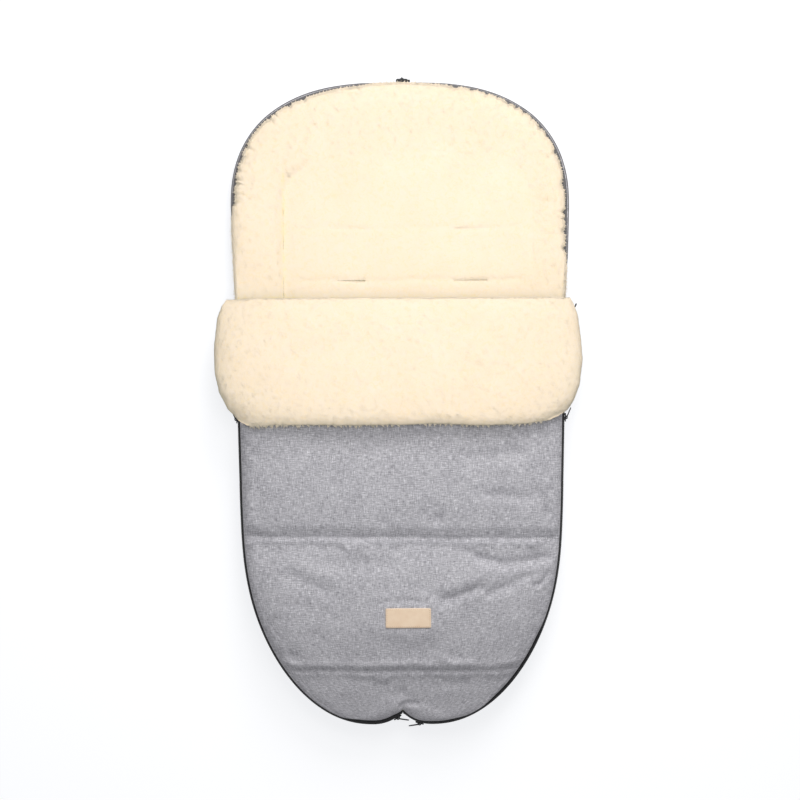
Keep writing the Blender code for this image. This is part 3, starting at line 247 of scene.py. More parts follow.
def padded_grid(name, top, bottom, uv):
    """Closed pad between two grids of points that share their border's plan."""
    rows, columns = top.shape[:2]
    count = rows * columns
    verts = np.concatenate([top.reshape(-1, 3), bottom.reshape(-1, 3)])
    faces = sheet_faces(rows, columns) + sheet_faces(rows, columns, count, True)
    ring = list(range(columns))
    ring += [i * columns + columns - 1 for i in range(1, rows)]
    ring += [(rows - 1) * columns + j for j in range(columns - 2, -1, -1)]
    ring += [i * columns for i in range(rows - 2, 0, -1)]
    for index, a in enumerate(ring):
        b = ring[(index + 1) % len(ring)]
        faces.append((b, a, a + count, b + count))
    flat = uv.reshape(-1, 2)
    both = np.concatenate([flat, flat])
    corner_uv = [both[v] for face in faces for v in face]
    return close_up(add_piece(name, verts, faces, corner_uv))


def at_height(plan, z):
    """Places in plan, raised to one height or to a height each."""
    return np.column_stack([plan, np.broadcast_to(z, len(plan))])


def loft(rings, around, across, closed):
    """Mesh through closed rings; around and across are cloth lengths for its UV map."""
    count, stations = rings.shape[:2]
    verts = rings.reshape(-1, 3)
    faces, corner_uv = [], []
    last = count if closed else count - 1
    for i in range(last):
        k = (i + 1) % count
        u_low, u_high = across[i], across[i + 1]
        for j in range(stations):
            m = (j + 1) % stations
            faces.append((i * stations + j, i * stations + m, k * stations + m, k * stations + j))
            corner_uv += [
                (around[j], u_low), (around[j + 1], u_low),
                (around[j + 1], u_high), (around[j], u_high),
            ]
    return verts, faces, corner_uv


def inside_polygon(points, polygon):
    """Which points lie inside a closed outline, by counting its crossings."""
    x, y = points[:, 0][:, None], points[:, 1][:, None]
    ax, ay = polygon[:, 0][None], polygon[:, 1][None]
    bx, by = np.roll(polygon[:, 0], -1)[None], np.roll(polygon[:, 1], -1)[None]
    spans = (ay > y) != (by > y)
    rise = np.where(by == ay, 1.0, by - ay)
    crosses = spans & (x < (bx - ax) * (y - ay) / rise + ax)
    return crosses.sum(1) % 2 == 1


def nearest(places, line, block=2000):
    """For each place, which point of a line is nearest and how far away it is."""
    index, gap = np.empty(len(places), int), np.empty(len(places))
    for start in range(0, len(places), block):
        part = slice(start, start + block)
        away = np.linalg.norm(places[part, None] - line[None], axis=2)
        index[part], gap[part] = away.argmin(1), away.min(1)
    return index, gap


def fill_region(outer, holes, inner_points):
    """Triangles over a region with holes; its loops come first among the points returned."""
    loops = [outer] + list(holes)
    verts, edges = [], []
    for loop in loops:
        start = len(verts)
        verts += [Vector(p) for p in loop]
        edges += [(start + k, start + (k + 1) % len(loop)) for k in range(len(loop))]
    verts += [Vector(p) for p in inner_points]
    found = delaunay_2d_cdt(verts, edges, [], 0, 1e-6)
    places = np.array([tuple(p) for p in found[0]])
    triangles = np.array([tuple(face) for face in found[2]])
    middles = places[triangles].mean(1)
    keep = inside_polygon(middles, np.asarray(outer))
    for hole in holes:
        keep &= ~inside_polygon(middles, np.asarray(hole))
    return places, triangles[keep]


def slab(name, places, triangles, top, bottom):
    """Closed slab over triangles in plan, with its own height above and below each point."""
    count = len(places)
    verts = np.concatenate([
        np.column_stack([places, top]), np.column_stack([places, np.broadcast_to(bottom, count)])
    ])
    faces = [tuple(t) for t in triangles] + [tuple(t[::-1] + count) for t in triangles]
    used = {}
    for triangle in triangles:
        for k in range(3):
            used[(triangle[k], triangle[(k + 1) % 3])] = True
    for a, b in used:
        if (b, a) not in used:
            faces.append((b, a, a + count, b + count))
    corner_uv = [verts[v][:2] for face in faces for v in face]
    return close_up(add_piece(name, verts, faces, corner_uv))


# Plan curves


def raw_half():
    """Right half of the edge and of the inner panel, hood top to foot middle, point for point."""
    turn = np.linspace(0, math.pi / 2, 500)
    hood_power, foot_power = 2 / HOOD_ROUNDNESS, 2 / FOOT_ROUNDNESS
    sine, cosine = np.sin(turn), np.maximum(np.cos(turn), 0)

    def hood(half_width, top_y):
        rise = HOOD_WIDEST_Y + (top_y - HOOD_WIDEST_Y) * cosine**hood_power
        return np.column_stack([half_width * sine**hood_power, rise])

    def foot(half_width, flat, end_y):
        x = flat + (half_width - flat) * cosine**foot_power
        return np.column_stack([x, FOOT_START_Y + (end_y - FOOT_START_Y) * sine**foot_power])

    share = np.linspace(0, 1, 200)[1:-1, None]
    edge_hood, panel_hood = hood(HALF_WIDTH, HOOD_TOP_Y), hood(PANEL_HALF_WIDTH, PANEL_TOP_Y)
    edge_foot = foot(FOOT_HALF_WIDTH, FOOT_LOBE_X, FOOT_END_Y)
    panel_foot = foot(PANEL_FOOT_HALF_WIDTH, PANEL_FOOT_FLAT, PANEL_FOOT_Y)
    edge_side = edge_hood[-1] + (edge_foot[0] - edge_hood[-1]) * share
    panel_side = np.column_stack([np.full(len(share), PANEL_HALF_WIDTH), edge_side[:, 1]])
    turn = np.linspace(0, math.asin(FOOT_LOBE_X / LOBE_RADIUS), 60)[1:]
    lobe_x = FOOT_LOBE_X - LOBE_RADIUS * np.sin(turn)
    lobe = np.column_stack([lobe_x, LOBE_CENTRE_Y - LOBE_RADIUS * np.cos(turn)])
    flat_x = PANEL_FOOT_FLAT * (1 - turn / turn[-1])
    panel_flat = np.column_stack([flat_x, np.full(len(turn), PANEL_FOOT_Y)])
    edge = np.concatenate([edge_hood, edge_side, edge_foot, lobe])
    panel = np.concatenate([panel_hood, panel_side, panel_foot, panel_flat])
    return edge, panel


def running_mean(values, span):
    """Each value averaged with its neighbours, over a span of odd length."""
    padded = np.pad(values, span // 2, mode="edge")
    return np.convolve(padded, np.ones(span) / span, "valid")


def path_length(points):
    steps = np.linalg.norm(np.diff(points, axis=0), axis=1)
    return np.concatenate([[0.0], np.cumsum(steps)])


EDGE_LIES = (  # height up the edge, and how far the soft edge lies outside its cut, in mm
    (-452, 0), (-425, 0.8), (-385, 2.4), (-345, 3.9), (-300, 4.6), (-250, 3.4), (-205, 1.2),
    (-170, -0.4), (-145, -0.5), (-120, 0), (160, 0), (178, 1.4), (200, 3.2), (320, 3.4),
    (360, 1.4), (400, -0.4), (445, -0.5), (470, 0.9), (480, 0.6),
)


def laid_out(edge):
    """The edge as the filled bag lies: spread a little at its shoulders and calves."""
    out = np.interp(edge[:, 1] / MM, *zip(*EDGE_LIES)) * MM
    for _ in range(2):
        out = running_mean(out, 41)
    step = np.gradient(edge, axis=0)
    normal = np.column_stack([-step[:, 1], step[:, 0]])
    normal /= np.linalg.norm(normal, axis=1)[:, None]
    return edge + normal * out[:, None]


RAW_EDGE, RAW_PANEL = raw_half()
RAW_EDGE = laid_out(RAW_EDGE)
RAW_LENGTH = path_length(RAW_EDGE)


def at_length(points, lengths):
    """Points at lengths along the right half's edge, on it or on a line that follows it."""
    return np.column_stack([np.interp(lengths, RAW_LENGTH, points[:, k]) for k in (0, 1)])


def length_at_y(y):
    """Length along the right half's edge, from the hood's top, where it passes y."""
    lowest = int(np.argmin(RAW_EDGE[:, 1]))
    return float(np.interp(-y, -RAW_EDGE[:lowest, 1], RAW_LENGTH[:lowest]))


def mirror_loop(right):
    """Closed loop, counterclockwise from the notch: up the right side and down the left."""
    left = right[1:-1] * (-1, 1)
    return np.concatenate([right[::-1], left])


def body_loops(fine, coarse):
    """The edge and the panel's loop, with stations close together round the open hood."""
    turn = length_at_y(CREASE_Y - 25 * MM)
    total = RAW_LENGTH[-1]
    first = np.linspace(0, turn, int(turn / fine) + 1)
    second = np.linspace(turn, total, int((total - turn) / coarse) + 1)[1:]
    lengths = np.concatenate([first, second])
    panel = mirror_loop(at_length(RAW_PANEL, lengths)) + (PANEL_SHIFT, 0)
    return mirror_loop(at_length(RAW_EDGE, lengths)), panel


def inset(loop, distance):
    """Move a closed counterclockwise loop inwards by a distance, one for all or one for each."""
    into = loop - np.roll(loop, 1, axis=0)
    out = np.roll(loop, -1, axis=0) - loop
    into /= np.linalg.norm(into, axis=1)[:, None]
    out /= np.linalg.norm(out, axis=1)[:, None]
    first = np.column_stack([-into[:, 1], into[:, 0]])
    mitre = first + np.column_stack([-out[:, 1], out[:, 0]])
    mitre /= np.linalg.norm(mitre, axis=1)[:, None]
    reach = np.asarray(distance) / (mitre * first).sum(1)
    return loop + mitre * np.broadcast_to(reach, len(loop))[:, None]


def half_inset(distance):
    """Right half of the raw edge moved inwards, hood top to notch."""
    loop = inset(mirror_loop(RAW_EDGE), distance)
    return loop[: len(RAW_EDGE)][::-1]


def edge_at_rows(rows, distance):
    """Point of the right edge in each row, moved in by a distance."""
    upto = int(np.argmin(RAW_EDGE[:, 1])) + 1
    lengths = np.interp(-rows, -RAW_EDGE[:upto, 1], RAW_LENGTH[:upto])
    return at_length(half_inset(distance), lengths)


def notch_rise(x, distance):
    """How far the foot's edge rises from its lobes into the notch between them."""
    radius = LOBE_RADIUS - distance
    away = FOOT_LOBE_X - np.minimum(np.abs(x), FOOT_LOBE_X)
    return radius - np.sqrt(radius**2 - away**2)


def cover_plan(rows, shares, distance):
    """Places in plan of a grid on the cover; its rows bend round the foot and its notch."""
    edge = edge_at_rows(rows, distance)
    down = np.maximum((HINGE_Y - rows) / (HINGE_Y - FOOT_END_Y), 0)
    level = (rows + distance * down**8)[:, None]
    x = shares[None] * edge[:, :1]
    drawn = np.maximum(1 - (rows - FOOT_END_Y) / NOTCH_REACH, 0)[:, None] ** 2
    bent = level + (edge[:, 1:] - level) * np.abs(shares[None]) ** 6
    return np.stack([x, bent + notch_rise(x, distance) * drawn], -1)


def fill_across(shares):
    return np.sqrt(np.maximum(1 - np.abs(shares) ** CROWN_ROUNDNESS, 0))


def crown_fill(shares, rows):
    """How far the padding fills its full height, across a row and down to the foot."""
    down = np.maximum((HINGE_Y - rows) / (HINGE_Y - FOOT_END_Y), 0)
    return fill_across(shares) * np.sqrt(np.maximum(1 - down**8, 0))


def cover_height(fill):
    """Height of the cover's smooth crown."""
    return COVER_EDGE + (CROWN_Z - COVER_EDGE) * fill


def cover_under(fill):
    """Height of the cover's lining on its underside."""
    return COVER_EDGE_LOW + (LINING_CROWN_LOW - COVER_EDGE_LOW) * fill


# Materials, each in its own function


class Builder:
    """Adds nodes to a tree, with inputs that are values or links."""

    def add(self, kind, settings=(), **inputs):
        node = self.tree.nodes.new(kind)
        for key, value in dict(settings).items():
            setattr(node, key, value)
        for key, value in inputs.items():
            self.put(node.inputs[key.replace("_", " ")], value)
        return node

    def put(self, socket, value):
        if isinstance(value, bpy.types.NodeSocket):
            self.tree.links.new(value, socket)
        else:
            socket.default_value = value

    def math(self, operation, first, second):
        node = self.add("ShaderNodeMath", {"operation": operation})
        self.put(node.inputs[0], first)
        self.put(node.inputs[1], second)
        return node.outputs[0]


class Nodes(Builder):
    """The nodes of one material."""

    def __init__(self, name):
        self.material = bpy.data.materials.new(name)
        self.material.use_nodes = True
        self.tree = self.material.node_tree
        self.shader = self.tree.nodes["Principled BSDF"]

    def place(self, source="object", scale=(1, 1, 1), turn=(0.0, 0.0, 0.0)):
        """Coordinates in metres from the piece's own cloth map or its place."""
        if source == "cloth":
            start = self.add("ShaderNodeUVMap", {"uv_map": "cloth"}).outputs["UV"]
        else:
            start = self.add("ShaderNodeTexCoord").outputs["Object"]
        return self.add("ShaderNodeMapping", Vector=start, Scale=scale, Rotation=turn).outputs[0]

    def noise(self, place, scale, detail=3.0, roughness=0.55, distortion=0.0):
        return self.add(
            "ShaderNodeTexNoise", Vector=place, Scale=scale, Detail=detail,
            Roughness=roughness, Distortion=distortion,
        ).outputs["Fac"]

    def wave(self, direction, distortion, place):
        return self.add("ShaderNodeTexWave", {"bands_direction": direction}, Scale=1.0,
                        Distortion=distortion, Vector=place).outputs["Fac"]

    def ramp(self, value, stops):
        """Colours or greys by position, as (position, colour) from low to high."""
        node = self.add("ShaderNodeValToRGB", Fac=value)
        ramp = node.color_ramp
        while len(ramp.elements) < len(stops):
            ramp.elements.new(0.5)
        for element, (position, colour) in zip(ramp.elements, stops):
            element.position = position
            element.color = (*colour, 1) if hasattr(colour, "__len__") else (colour,) * 3 + (1,)
        return node.outputs["Color"]

    def mix(self, share, first, second, blend="MIX"):
        node = self.add("ShaderNodeMix", {"data_type": "RGBA", "blend_type": blend})
        self.put(node.inputs["Factor"], share)
        self.put(node.inputs["A"], first)
        self.put(node.inputs["B"], second)
        return node.outputs["Result"]

    def bump(self, height, strength, distance, under=None):
        node = self.add("ShaderNodeBump", Height=height, Strength=strength, Distance=distance)
        if under is not None:
            self.put(node.inputs["Normal"], under)
        return node.outputs[0]

    def lifted(self, normal, share):
        """A shading normal drawn upwards, as light that spreads through a pile softens it."""
        kept = self.add("ShaderNodeVectorMath", {"operation": "SCALE"}, Vector=normal)
        self.put(kept.inputs["Scale"], 1.0 - share)
        raised = self.add("ShaderNodeVectorMath", {"operation": "ADD"})
        self.put(raised.inputs[0], kept.outputs[0])
        self.put(raised.inputs[1], (0.0, 0.0, share))
        return self.add("ShaderNodeVectorMath", {"operation": "NORMALIZE"},
                        Vector=raised.outputs[0]).outputs[0]

    def finish(self, colour, roughness, normal=None, **plain):
        self.put(self.shader.inputs["Base Color"], colour)
        self.put(self.shader.inputs["Roughness"], roughness)
        if normal is not None:
            self.put(self.shader.inputs["Normal"], normal)
        for key, value in plain.items():
            self.shader.inputs[key.replace("_", " ")].default_value = value
        return self.material


def melange_material(name):
    """Two-tone woven melange: streaks along both threads over a fine plain weave."""
    n = Nodes(name)
    weft = n.noise(n.place("cloth", (100, 680, 680)), 1.0, 3.0, 0.66)
    warp = n.noise(n.place("cloth", (700, 90, 700)), 1.0, 3.0, 0.66)
    fleck = n.noise(n.place("cloth", (600, 600, 600)), 1.0, 3.0, 0.75)
    patch = n.noise(n.place("cloth", (26, 26, 26)), 1.0, 2.0)
    threads = n.math("ADD", n.math("MULTIPLY", weft, 0.4), n.math("MULTIPLY", warp, 0.35))
    threads = n.math("ADD", threads, n.math("MULTIPLY", fleck, 0.25))
    tone = n.ramp(threads, [
        (0.38, (0.22, 0.217, 0.240)), (0.465, (0.412, 0.407, 0.440)),
        (0.54, (0.566, 0.56, 0.598)), (0.63, (0.88, 0.87, 0.915)),
    ])
    tone = n.mix(0.5, tone, n.ramp(patch, [(0.3, 0.44), (0.7, 0.56)]), "OVERLAY")
    ribs = [n.wave(direction, 0.4, n.place("cloth", (420, 420, 420))) for direction in "XY"]
    normal = n.bump(n.math("MULTIPLY", *ribs), 0.35, 0.3 * MM)
    normal = n.bump(threads, 0.3, 0.5 * MM, normal)
    return n.finish(tone, 0.88, normal, Sheen_Weight=0.12, Sheen_Roughness=0.5,
                    Specular_IOR_Level=0.25)


PILE_SHEEN_AND_PAINTED_GLOW = {  # sheen of the pile, and a painted glow by emission that stands in for the light that spreads inside it
    "Sheen_Weight": 0.2, "Specular_IOR_Level": 0.1,
    "Emission_Color": (0.95, 0.95, 0.73, 1), "Emission_Strength": 0.16,
}


def fleece_material(name):
    """Cream pile: fibres, soft locks, and painted shade, darker and yellower, down between them.
    """
    n = Nodes(name)
    place = n.place()
    lock = n.noise(place, 110, 3.0, 0.6, 0.8)
    fibre = n.noise(n.place("object", (900, 350, 600), (0.2, 0.1, 0.5)), 1.0, 4.0, 0.7, 0.6)
    wide = n.noise(place, 14, 2.0)
    pile = n.add("ShaderNodeAttribute", {"attribute_name": "pile"}).outputs["Fac"]
    # painted shade: the lowest pile values, between the locks, in the creases and in the slot
    # passages, take darker, yellower tones
    tone = n.ramp(pile, [
        (0.0, (0.74, 0.59, 0.24)), (0.16, (0.86, 0.715, 0.40)), (0.36, (0.88, 0.735, 0.56)),
        (0.75, (0.885, 0.742, 0.605)),
    ])
    warm = n.ramp(wide, [(0.3, (0.98, 0.94, 0.90)), (0.7, (1.0, 1.0, 1.0))])
    tone = n.mix(0.6, tone, warm, "MULTIPLY")
    curl = n.noise(place, 130, 4.0, 0.7, 1.6)
    tone = n.mix(0.7, tone, n.ramp(curl, [(0.36, (1.0, 0.945, 0.78)), (0.5, 1.0)]), "MULTIPLY")
    tone = n.mix(0.08, tone, n.ramp(fibre, [(0.25, 0.6), (0.75, 1.0)]), "MULTIPLY")
    normal = n.bump(lock, 0.25, 0.9 * MM)
    normal = n.bump(fibre, 0.3, 0.5 * MM, normal)
    normal = n.lifted(normal, 0.78)
    # the pile's emission is a painted glow that lightens its shaded sides and creases
    return n.finish(tone, 0.95, normal, Sheen_Roughness=0.6, **PILE_SHEEN_AND_PAINTED_GLOW)


def hair_material(name):
    """Loose fibres of the pile."""
    n = Nodes(name)
    tint = n.noise(n.place(), 90, 2.0)
    tone = n.ramp(tint, [(0.3, (0.88, 0.735, 0.585)), (0.65, (0.89, 0.757, 0.63))])
    normal = n.bump(n.noise(n.place(), 1500), 0.2, 0.2 * MM)
    normal = n.lifted(normal, 0.85)
    # the fibres glow by emission too: painted light
    return n.finish(tone, 0.9, normal, **PILE_SHEEN_AND_PAINTED_GLOW)


def leather_material(name):
    n = Nodes(name)
    place = n.place()
    grain = n.add("ShaderNodeTexVoronoi", {"feature": "DISTANCE_TO_EDGE"}, Vector=place,
                  Scale=1100.0).outputs["Distance"]
    pore = n.noise(place, 2600, 2.0)
    cloudy = n.noise(place, 60, 4.0)
    tone = n.ramp(cloudy, [(0.3, (0.90, 0.69, 0.50)), (0.7, (0.98, 0.79, 0.60))])
    tone = n.mix(0.3, tone, n.ramp(pore, [(0.35, 0.4), (0.6, 0.53)]), "OVERLAY")
    normal = n.bump(n.math("MINIMUM", grain, 0.12), 0.35, 0.2 * MM)
    rough = n.ramp(cloudy, [(0.2, 0.46), (0.8, 0.6)])
    return n.finish(tone, rough, normal, Specular_IOR_Level=0.4)


def thread_material(name, colour):
    n = Nodes(name)
    twist = n.wave("DIAGONAL", 1.0, n.place("object", (900, 900, 900)))
    dark = tuple(c * 0.75 for c in colour)
    tone = n.ramp(twist, [(0.2, dark), (0.7, colour)])
    return n.finish(tone, 0.6, n.bump(twist, 0.5, 0.15 * MM), Sheen_Weight=0.15)


def tape_material(name):
    """Black twill tape with a faint herringbone."""
    n = Nodes(name)
    rib = n.wave("DIAGONAL", 0.3, n.place("object", (480, 480, 480)))
    worn = n.noise(n.place(), 300, 4.0, 0.7)
    tone = n.ramp(worn, [(0.3, (0.008, 0.008, 0.009)), (0.75, (0.035, 0.035, 0.038))])
    normal = n.bump(rib, 0.6, 0.25 * MM)
    return n.finish(tone, 0.82, normal, Sheen_Weight=0.15, Specular_IOR_Level=0.3)


def coil_material(name):
    n = Nodes(name)
    worn = n.noise(n.place(), 500, 3.0)
    tone = n.ramp(worn, [(0.3, (0.012, 0.012, 0.013)), (0.7, (0.04, 0.04, 0.043))])
    rough = n.ramp(worn, [(0.3, 0.32), (0.7, 0.5)])
    return n.finish(tone, rough, n.bump(worn, 0.15, 0.1 * MM))


def slider_material(name):
    """Dark lacquered metal, rubbed to bare metal here and there."""
    n = Nodes(name)
    worn = n.noise(n.place(), 420, 5.0, 0.7)
    tone = n.ramp(worn, [(0.35, (0.035, 0.035, 0.04)), (0.62, (0.07, 0.07, 0.075)),
                         (0.74, (0.30, 0.30, 0.31))])
    rough = n.ramp(worn, [(0.3, 0.28), (0.7, 0.5)])
    return n.finish(tone, rough, n.bump(worn, 0.2, 0.08 * MM), Metallic=0.85)


def cord_material(name):
    """Braided elastic."""
    n = Nodes(name)
    braid = n.wave("DIAGONAL", 2.0, n.place("object", (700, 700, 700)))
    tone = n.ramp(braid, [(0.2, (0.01, 0.01, 0.011)), (0.8, (0.05, 0.05, 0.055))])
    return n.finish(tone, 0.75, n.bump(braid, 0.7, 0.3 * MM), Sheen_Weight=0.15)


def plastic_material(name):
    n = Nodes(name)
    grain = n.noise(n.place(), 2200, 2.0)
    tone = n.ramp(grain, [(0.3, (0.014, 0.014, 0.015)), (0.7, (0.028, 0.028, 0.03))])
    rough = n.ramp(grain, [(0.3, 0.36), (0.7, 0.5)])
    return n.finish(tone, rough, n.bump(grain, 0.15, 0.05 * MM))


def steel_material(name):
    n = Nodes(name)
    drawn = n.noise(n.place("object", (300, 3000, 3000)), 1.0, 2.0)
    tone = n.ramp(drawn, [(0.3, (0.5, 0.5, 0.52)), (0.7, (0.72, 0.72, 0.74))])
    return n.finish(tone, n.ramp(drawn, [(0.3, 0.22), (0.7, 0.4)]), None, Metallic=1.0)


LOOKS = {  # material and slot of each finish
    "melange": (melange_material("melange_weave"), "melange_fabric"),
    "fleece": (fleece_material("cream_pile"), "cream_fleece"),
    "hair": (hair_material("cream_fibres"), "cream_fleece"),
    "leather": (leather_material("pale_grained_leather"), "pale_leather"),
    "thread": (thread_material("grey_thread", (0.84, 0.84, 0.87)), "melange_fabric"),
    "label_thread": (thread_material("tan_thread", (0.62, 0.44, 0.30)), "pale_leather"),
    # the binding finish also serves as painted shade round the hood's rim
    "binding_and_painted_shade": (thread_material("dark_grey_binding_and_painted_shade", (0.15, 0.145, 0.15)), "melange_fabric"),
    "tape": (tape_material("black_twill_tape"), "zip_tape"),
    "coil": (coil_material("nylon_coil"), "zip_coil"),
    "slider": (slider_material("dark_lacquered_metal"), "slider_metal"),
    "cord": (cord_material("braided_elastic"), "hood_cord"),
    "plastic": (plastic_material("black_moulding"), "lock_plastic"),
    "steel": (steel_material("spring_wire"), "spring_steel"),
}
FINISH = {finish: look[0] for finish, look in LOOKS.items()}


def dress(piece, finish, body=None, stands_for=()):
    """Give a finished piece its material, its body and the solids it stands for."""
    piece.data.materials.clear()
    piece.data.materials.append(FINISH[finish])
    if stands_for:
        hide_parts(*stands_for)
    if body:
        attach(piece, body)


# Repeated small shapes, made by Geometry Nodes


class Tree(Builder):
    """A Geometry Nodes tree with named inputs."""

    KINDS = {"length": "NodeSocketFloat", "count": "NodeSocketInt", "finish": "NodeSocketMaterial",
             "shape": "NodeSocketObject"}

    def __init__(self, name, inputs):
        self.tree = bpy.data.node_groups.new(name, "GeometryNodeTree")
        face = self.tree.interface
        face.new_socket("Geometry", in_out="INPUT", socket_type="NodeSocketGeometry")
        self.ids = {}
        for label, kind in inputs:
            socket = face.new_socket(label, in_out="INPUT", socket_type=self.KINDS[kind])
            self.ids[label] = socket.identifier
        face.new_socket("Geometry", in_out="OUTPUT", socket_type="NodeSocketGeometry")
        self.start = self.tree.nodes.new("NodeGroupInput")
        self.end = self.tree.nodes.new("NodeGroupOutput")

    def given(self, label):
        return self.start.outputs[label]

    def between(self, low, high, seed):
        """Random value between two, a new one for each seed."""
        node = self.add("FunctionNodeRandomValue", {"data_type": "FLOAT"})
        self.put(node.inputs[2], low)
        self.put(node.inputs[3], high)
        self.put(node.inputs[8], seed)
        return node.outputs[1]

    def aim(self, axis, vector, rotation=None, pivot="AUTO"):
        node = self.add("FunctionNodeAlignRotationToVector", {"axis": axis, "pivot_axis": pivot},
                        Vector=vector)
        if rotation is not None:
            self.put(node.inputs["Rotation"], rotation)
        return node.outputs[0]

    def turned(self, rotation, axis, angle):
        """A rotation followed by a turn about one of the shape's own axes."""
        turn = self.add("FunctionNodeAxisAngleToRotation", Axis=axis, Angle=angle)
        node = self.add("FunctionNodeRotateRotation", {"rotation_space": "LOCAL"},
                        Rotation=rotation)
        self.put(node.inputs["Rotate By"], turn.outputs[0])
        return node.outputs[0]

    def close(self, points, facing):
        """Put a copy of the shape on each point, as one shaded mesh with its material."""
        shape = self.add("GeometryNodeObjectInfo", Object=self.given("Shape"))
        placed = self.add("GeometryNodeInstanceOnPoints", Points=points,
                          Instance=shape.outputs["Geometry"], Rotation=facing)
        size = self.between(self.given("Least size"), 1.0, self.given("Seed"))
        self.put(placed.inputs["Scale"], size)
        real = self.add("GeometryNodeRealizeInstances", Geometry=placed.outputs[0])
        shaded = self.add("GeometryNodeSetShadeSmooth", Geometry=real.outputs[0])
        final = self.add("GeometryNodeSetMaterial", Geometry=shaded.outputs[0],
                         Material=self.given("Finish"))
        self.put(self.end.inputs[0], final.outputs[0])
        return self


def row_tree():
    """Copies of a shape along a path, its X along the path and its Z along the stored lean."""
    t = Tree("row_along_path", [
        ("Pitch", "length"), ("Shape", "shape"), ("Finish", "finish"), ("Wander", "length"),
        ("Least size", "length"), ("Seed", "count"),
    ])
    line = t.add("GeometryNodeMeshToCurve", Mesh=t.given("Geometry"))
    evened = t.add("GeometryNodeResampleCurve", {"mode": "LENGTH"}, Curve=line.outputs[0])
    t.put(evened.inputs["Length"], t.given("Pitch"))
    tangent = t.add("GeometryNodeInputTangent").outputs[0]
    lean = t.add("GeometryNodeInputNamedAttribute", {"data_type": "FLOAT_VECTOR"}, Name="lean")
    facing = t.aim("X", tangent)
    facing = t.aim("Z", lean.outputs[0], facing, "X")
    minus = t.math("MULTIPLY", t.given("Wander"), -1.0)
    for step, axis in enumerate(((1, 0, 0), (0, 1, 0), (0, 0, 1))):
        seed = t.math("ADD", t.given("Seed"), float(step))
        facing = t.turned(facing, axis, t.between(minus, t.given("Wander"), seed))
    return t.close(evened.outputs[0], facing)


def pile_tree():
    """Locks of pile scattered over a surface, standing on it and each turned its own way."""
    t = Tree("pile_on_surface", [
        ("Spacing", "length"), ("Shape", "shape"), ("Finish", "finish"), ("Sink", "length"),
        ("Least size", "length"), ("Seed", "count"),
    ])
    spread = t.add("GeometryNodeDistributePointsOnFaces", {"distribute_method": "POISSON"},
                   Mesh=t.given("Geometry"))
    grown = t.add("GeometryNodeInputNamedAttribute", {"data_type": "FLOAT"}, Name="growth")
    t.put(spread.inputs["Distance Min"], t.given("Spacing"))
    t.put(spread.inputs["Density Max"], 90000.0)
    t.put(spread.inputs["Density Factor"], grown.outputs[0])
    t.put(spread.inputs["Seed"], t.given("Seed"))
    facing = t.aim("Z", spread.outputs["Normal"])
    facing = t.turned(facing, (0, 0, 1), t.between(0.0, 2 * math.pi, t.given("Seed")))
    down = t.add("ShaderNodeVectorMath", {"operation": "SCALE"}, Vector=spread.outputs["Normal"])
    t.put(down.inputs["Scale"], t.math("MULTIPLY", t.given("Sink"), -1.0))
    sunk = t.add("GeometryNodeSetPosition", Geometry=spread.outputs[0], Offset=down.outputs[0])
    return t.close(sunk.outputs[0], facing)


ROW = row_tree()
PILE = pile_tree()


def grow(name, base, tree, values):
    """Run a tree on a base object and keep the result as one plain mesh."""
    modifier = base.modifiers.new("repeat", "NODES")
    modifier.node_group = tree.tree
    for label, value in values.items():
        modifier[tree.ids[label]] = value
    bpy.context.view_layer.update()
    graph = bpy.context.evaluated_depsgraph_get()
    data = bpy.data.meshes.new_from_object(base.evaluated_get(graph))
    base.modifiers.clear()
    data.name = name
    return linked(name, data)


def drop(*objects):
    for thing in objects:
        bpy.data.objects.remove(thing, do_unlink=True)


UPRIGHT = np.array([0, 0, 1.0])


def path_object(paths, leans):
    """Edges along one or more paths, with the direction that a repeated shape stands in."""
    verts, edges, directions = [], [], []
    for path, lean in zip(paths, leans):
        start = len(verts)
        verts += [tuple(p) for p in path]
        edges += [(start + k, start + k + 1) for k in range(len(path) - 1)]
        directions.append(np.broadcast_to(lean, (len(path), 3)))
    data = bpy.data.meshes.new("path")
    data.from_pydata(verts, edges, [])
    attribute = data.attributes.new("lean", "FLOAT_VECTOR", "POINT")
    attribute.data.foreach_set("vector", np.concatenate(directions).astype(np.float32).ravel())
    return linked("path", data)


def row(name, shape, paths, leans, pitch, wander, least, seed, body, finish="hair", stands_for=()):
    """One piece from copies of a shape along paths, each leaning its path's way."""
    base = path_object(paths, leans)
    piece = grow(name, base, ROW, {
        "Pitch": pitch, "Shape": shape, "Finish": FINISH[finish], "Wander": wander,
        "Least size": least, "Seed": seed,
    })
    dress(piece, finish, body, stands_for)
    drop(base)


def bead_shape(name, size):
    """Rounded bead, size along each axis."""
    mesh = bmesh.new()
    bmesh.ops.create_uvsphere(mesh, u_segments=6, v_segments=4, radius=0.5)
    bmesh.ops.rotate(mesh, cent=Vector(), matrix=Matrix.Rotation(math.pi / 2, 3, "Y"),
                     verts=mesh.verts)
    bmesh.ops.scale(mesh, vec=size, verts=mesh.verts)
    data = bpy.data.meshes.new(name)
    mesh.to_mesh(data)
    mesh.free()
    return linked(name, data)


def fibre(verts, faces, root, tip, sag, width, steps=3):
    """One curved tapering fibre of three sides, closed at both ends."""
    start = len(verts)
    axis = (tip - root).normalized()
    side = axis.orthogonal().normalized()
    over = axis.cross(side)
    for step in range(steps):
        share = step / steps
        middle = root.lerp(tip, share) + sag * 4 * share * (1 - share)
        size = width * (1 - share**1.6)
        for corner in range(3):
            angle = 2 * math.pi * corner / 3
            verts.append(middle + (side * math.cos(angle) + over * math.sin(angle)) * size)
    verts.append(tip)
    top = len(verts) - 1
    for step in range(steps):
        for corner in range(3):
            a = start + step * 3 + corner
            b = start + step * 3 + (corner + 1) % 3
            faces.append((a, b, b + 3, a + 3) if step < steps - 1 else (a, b, top))
    faces.append((start + 2, start + 1, start))


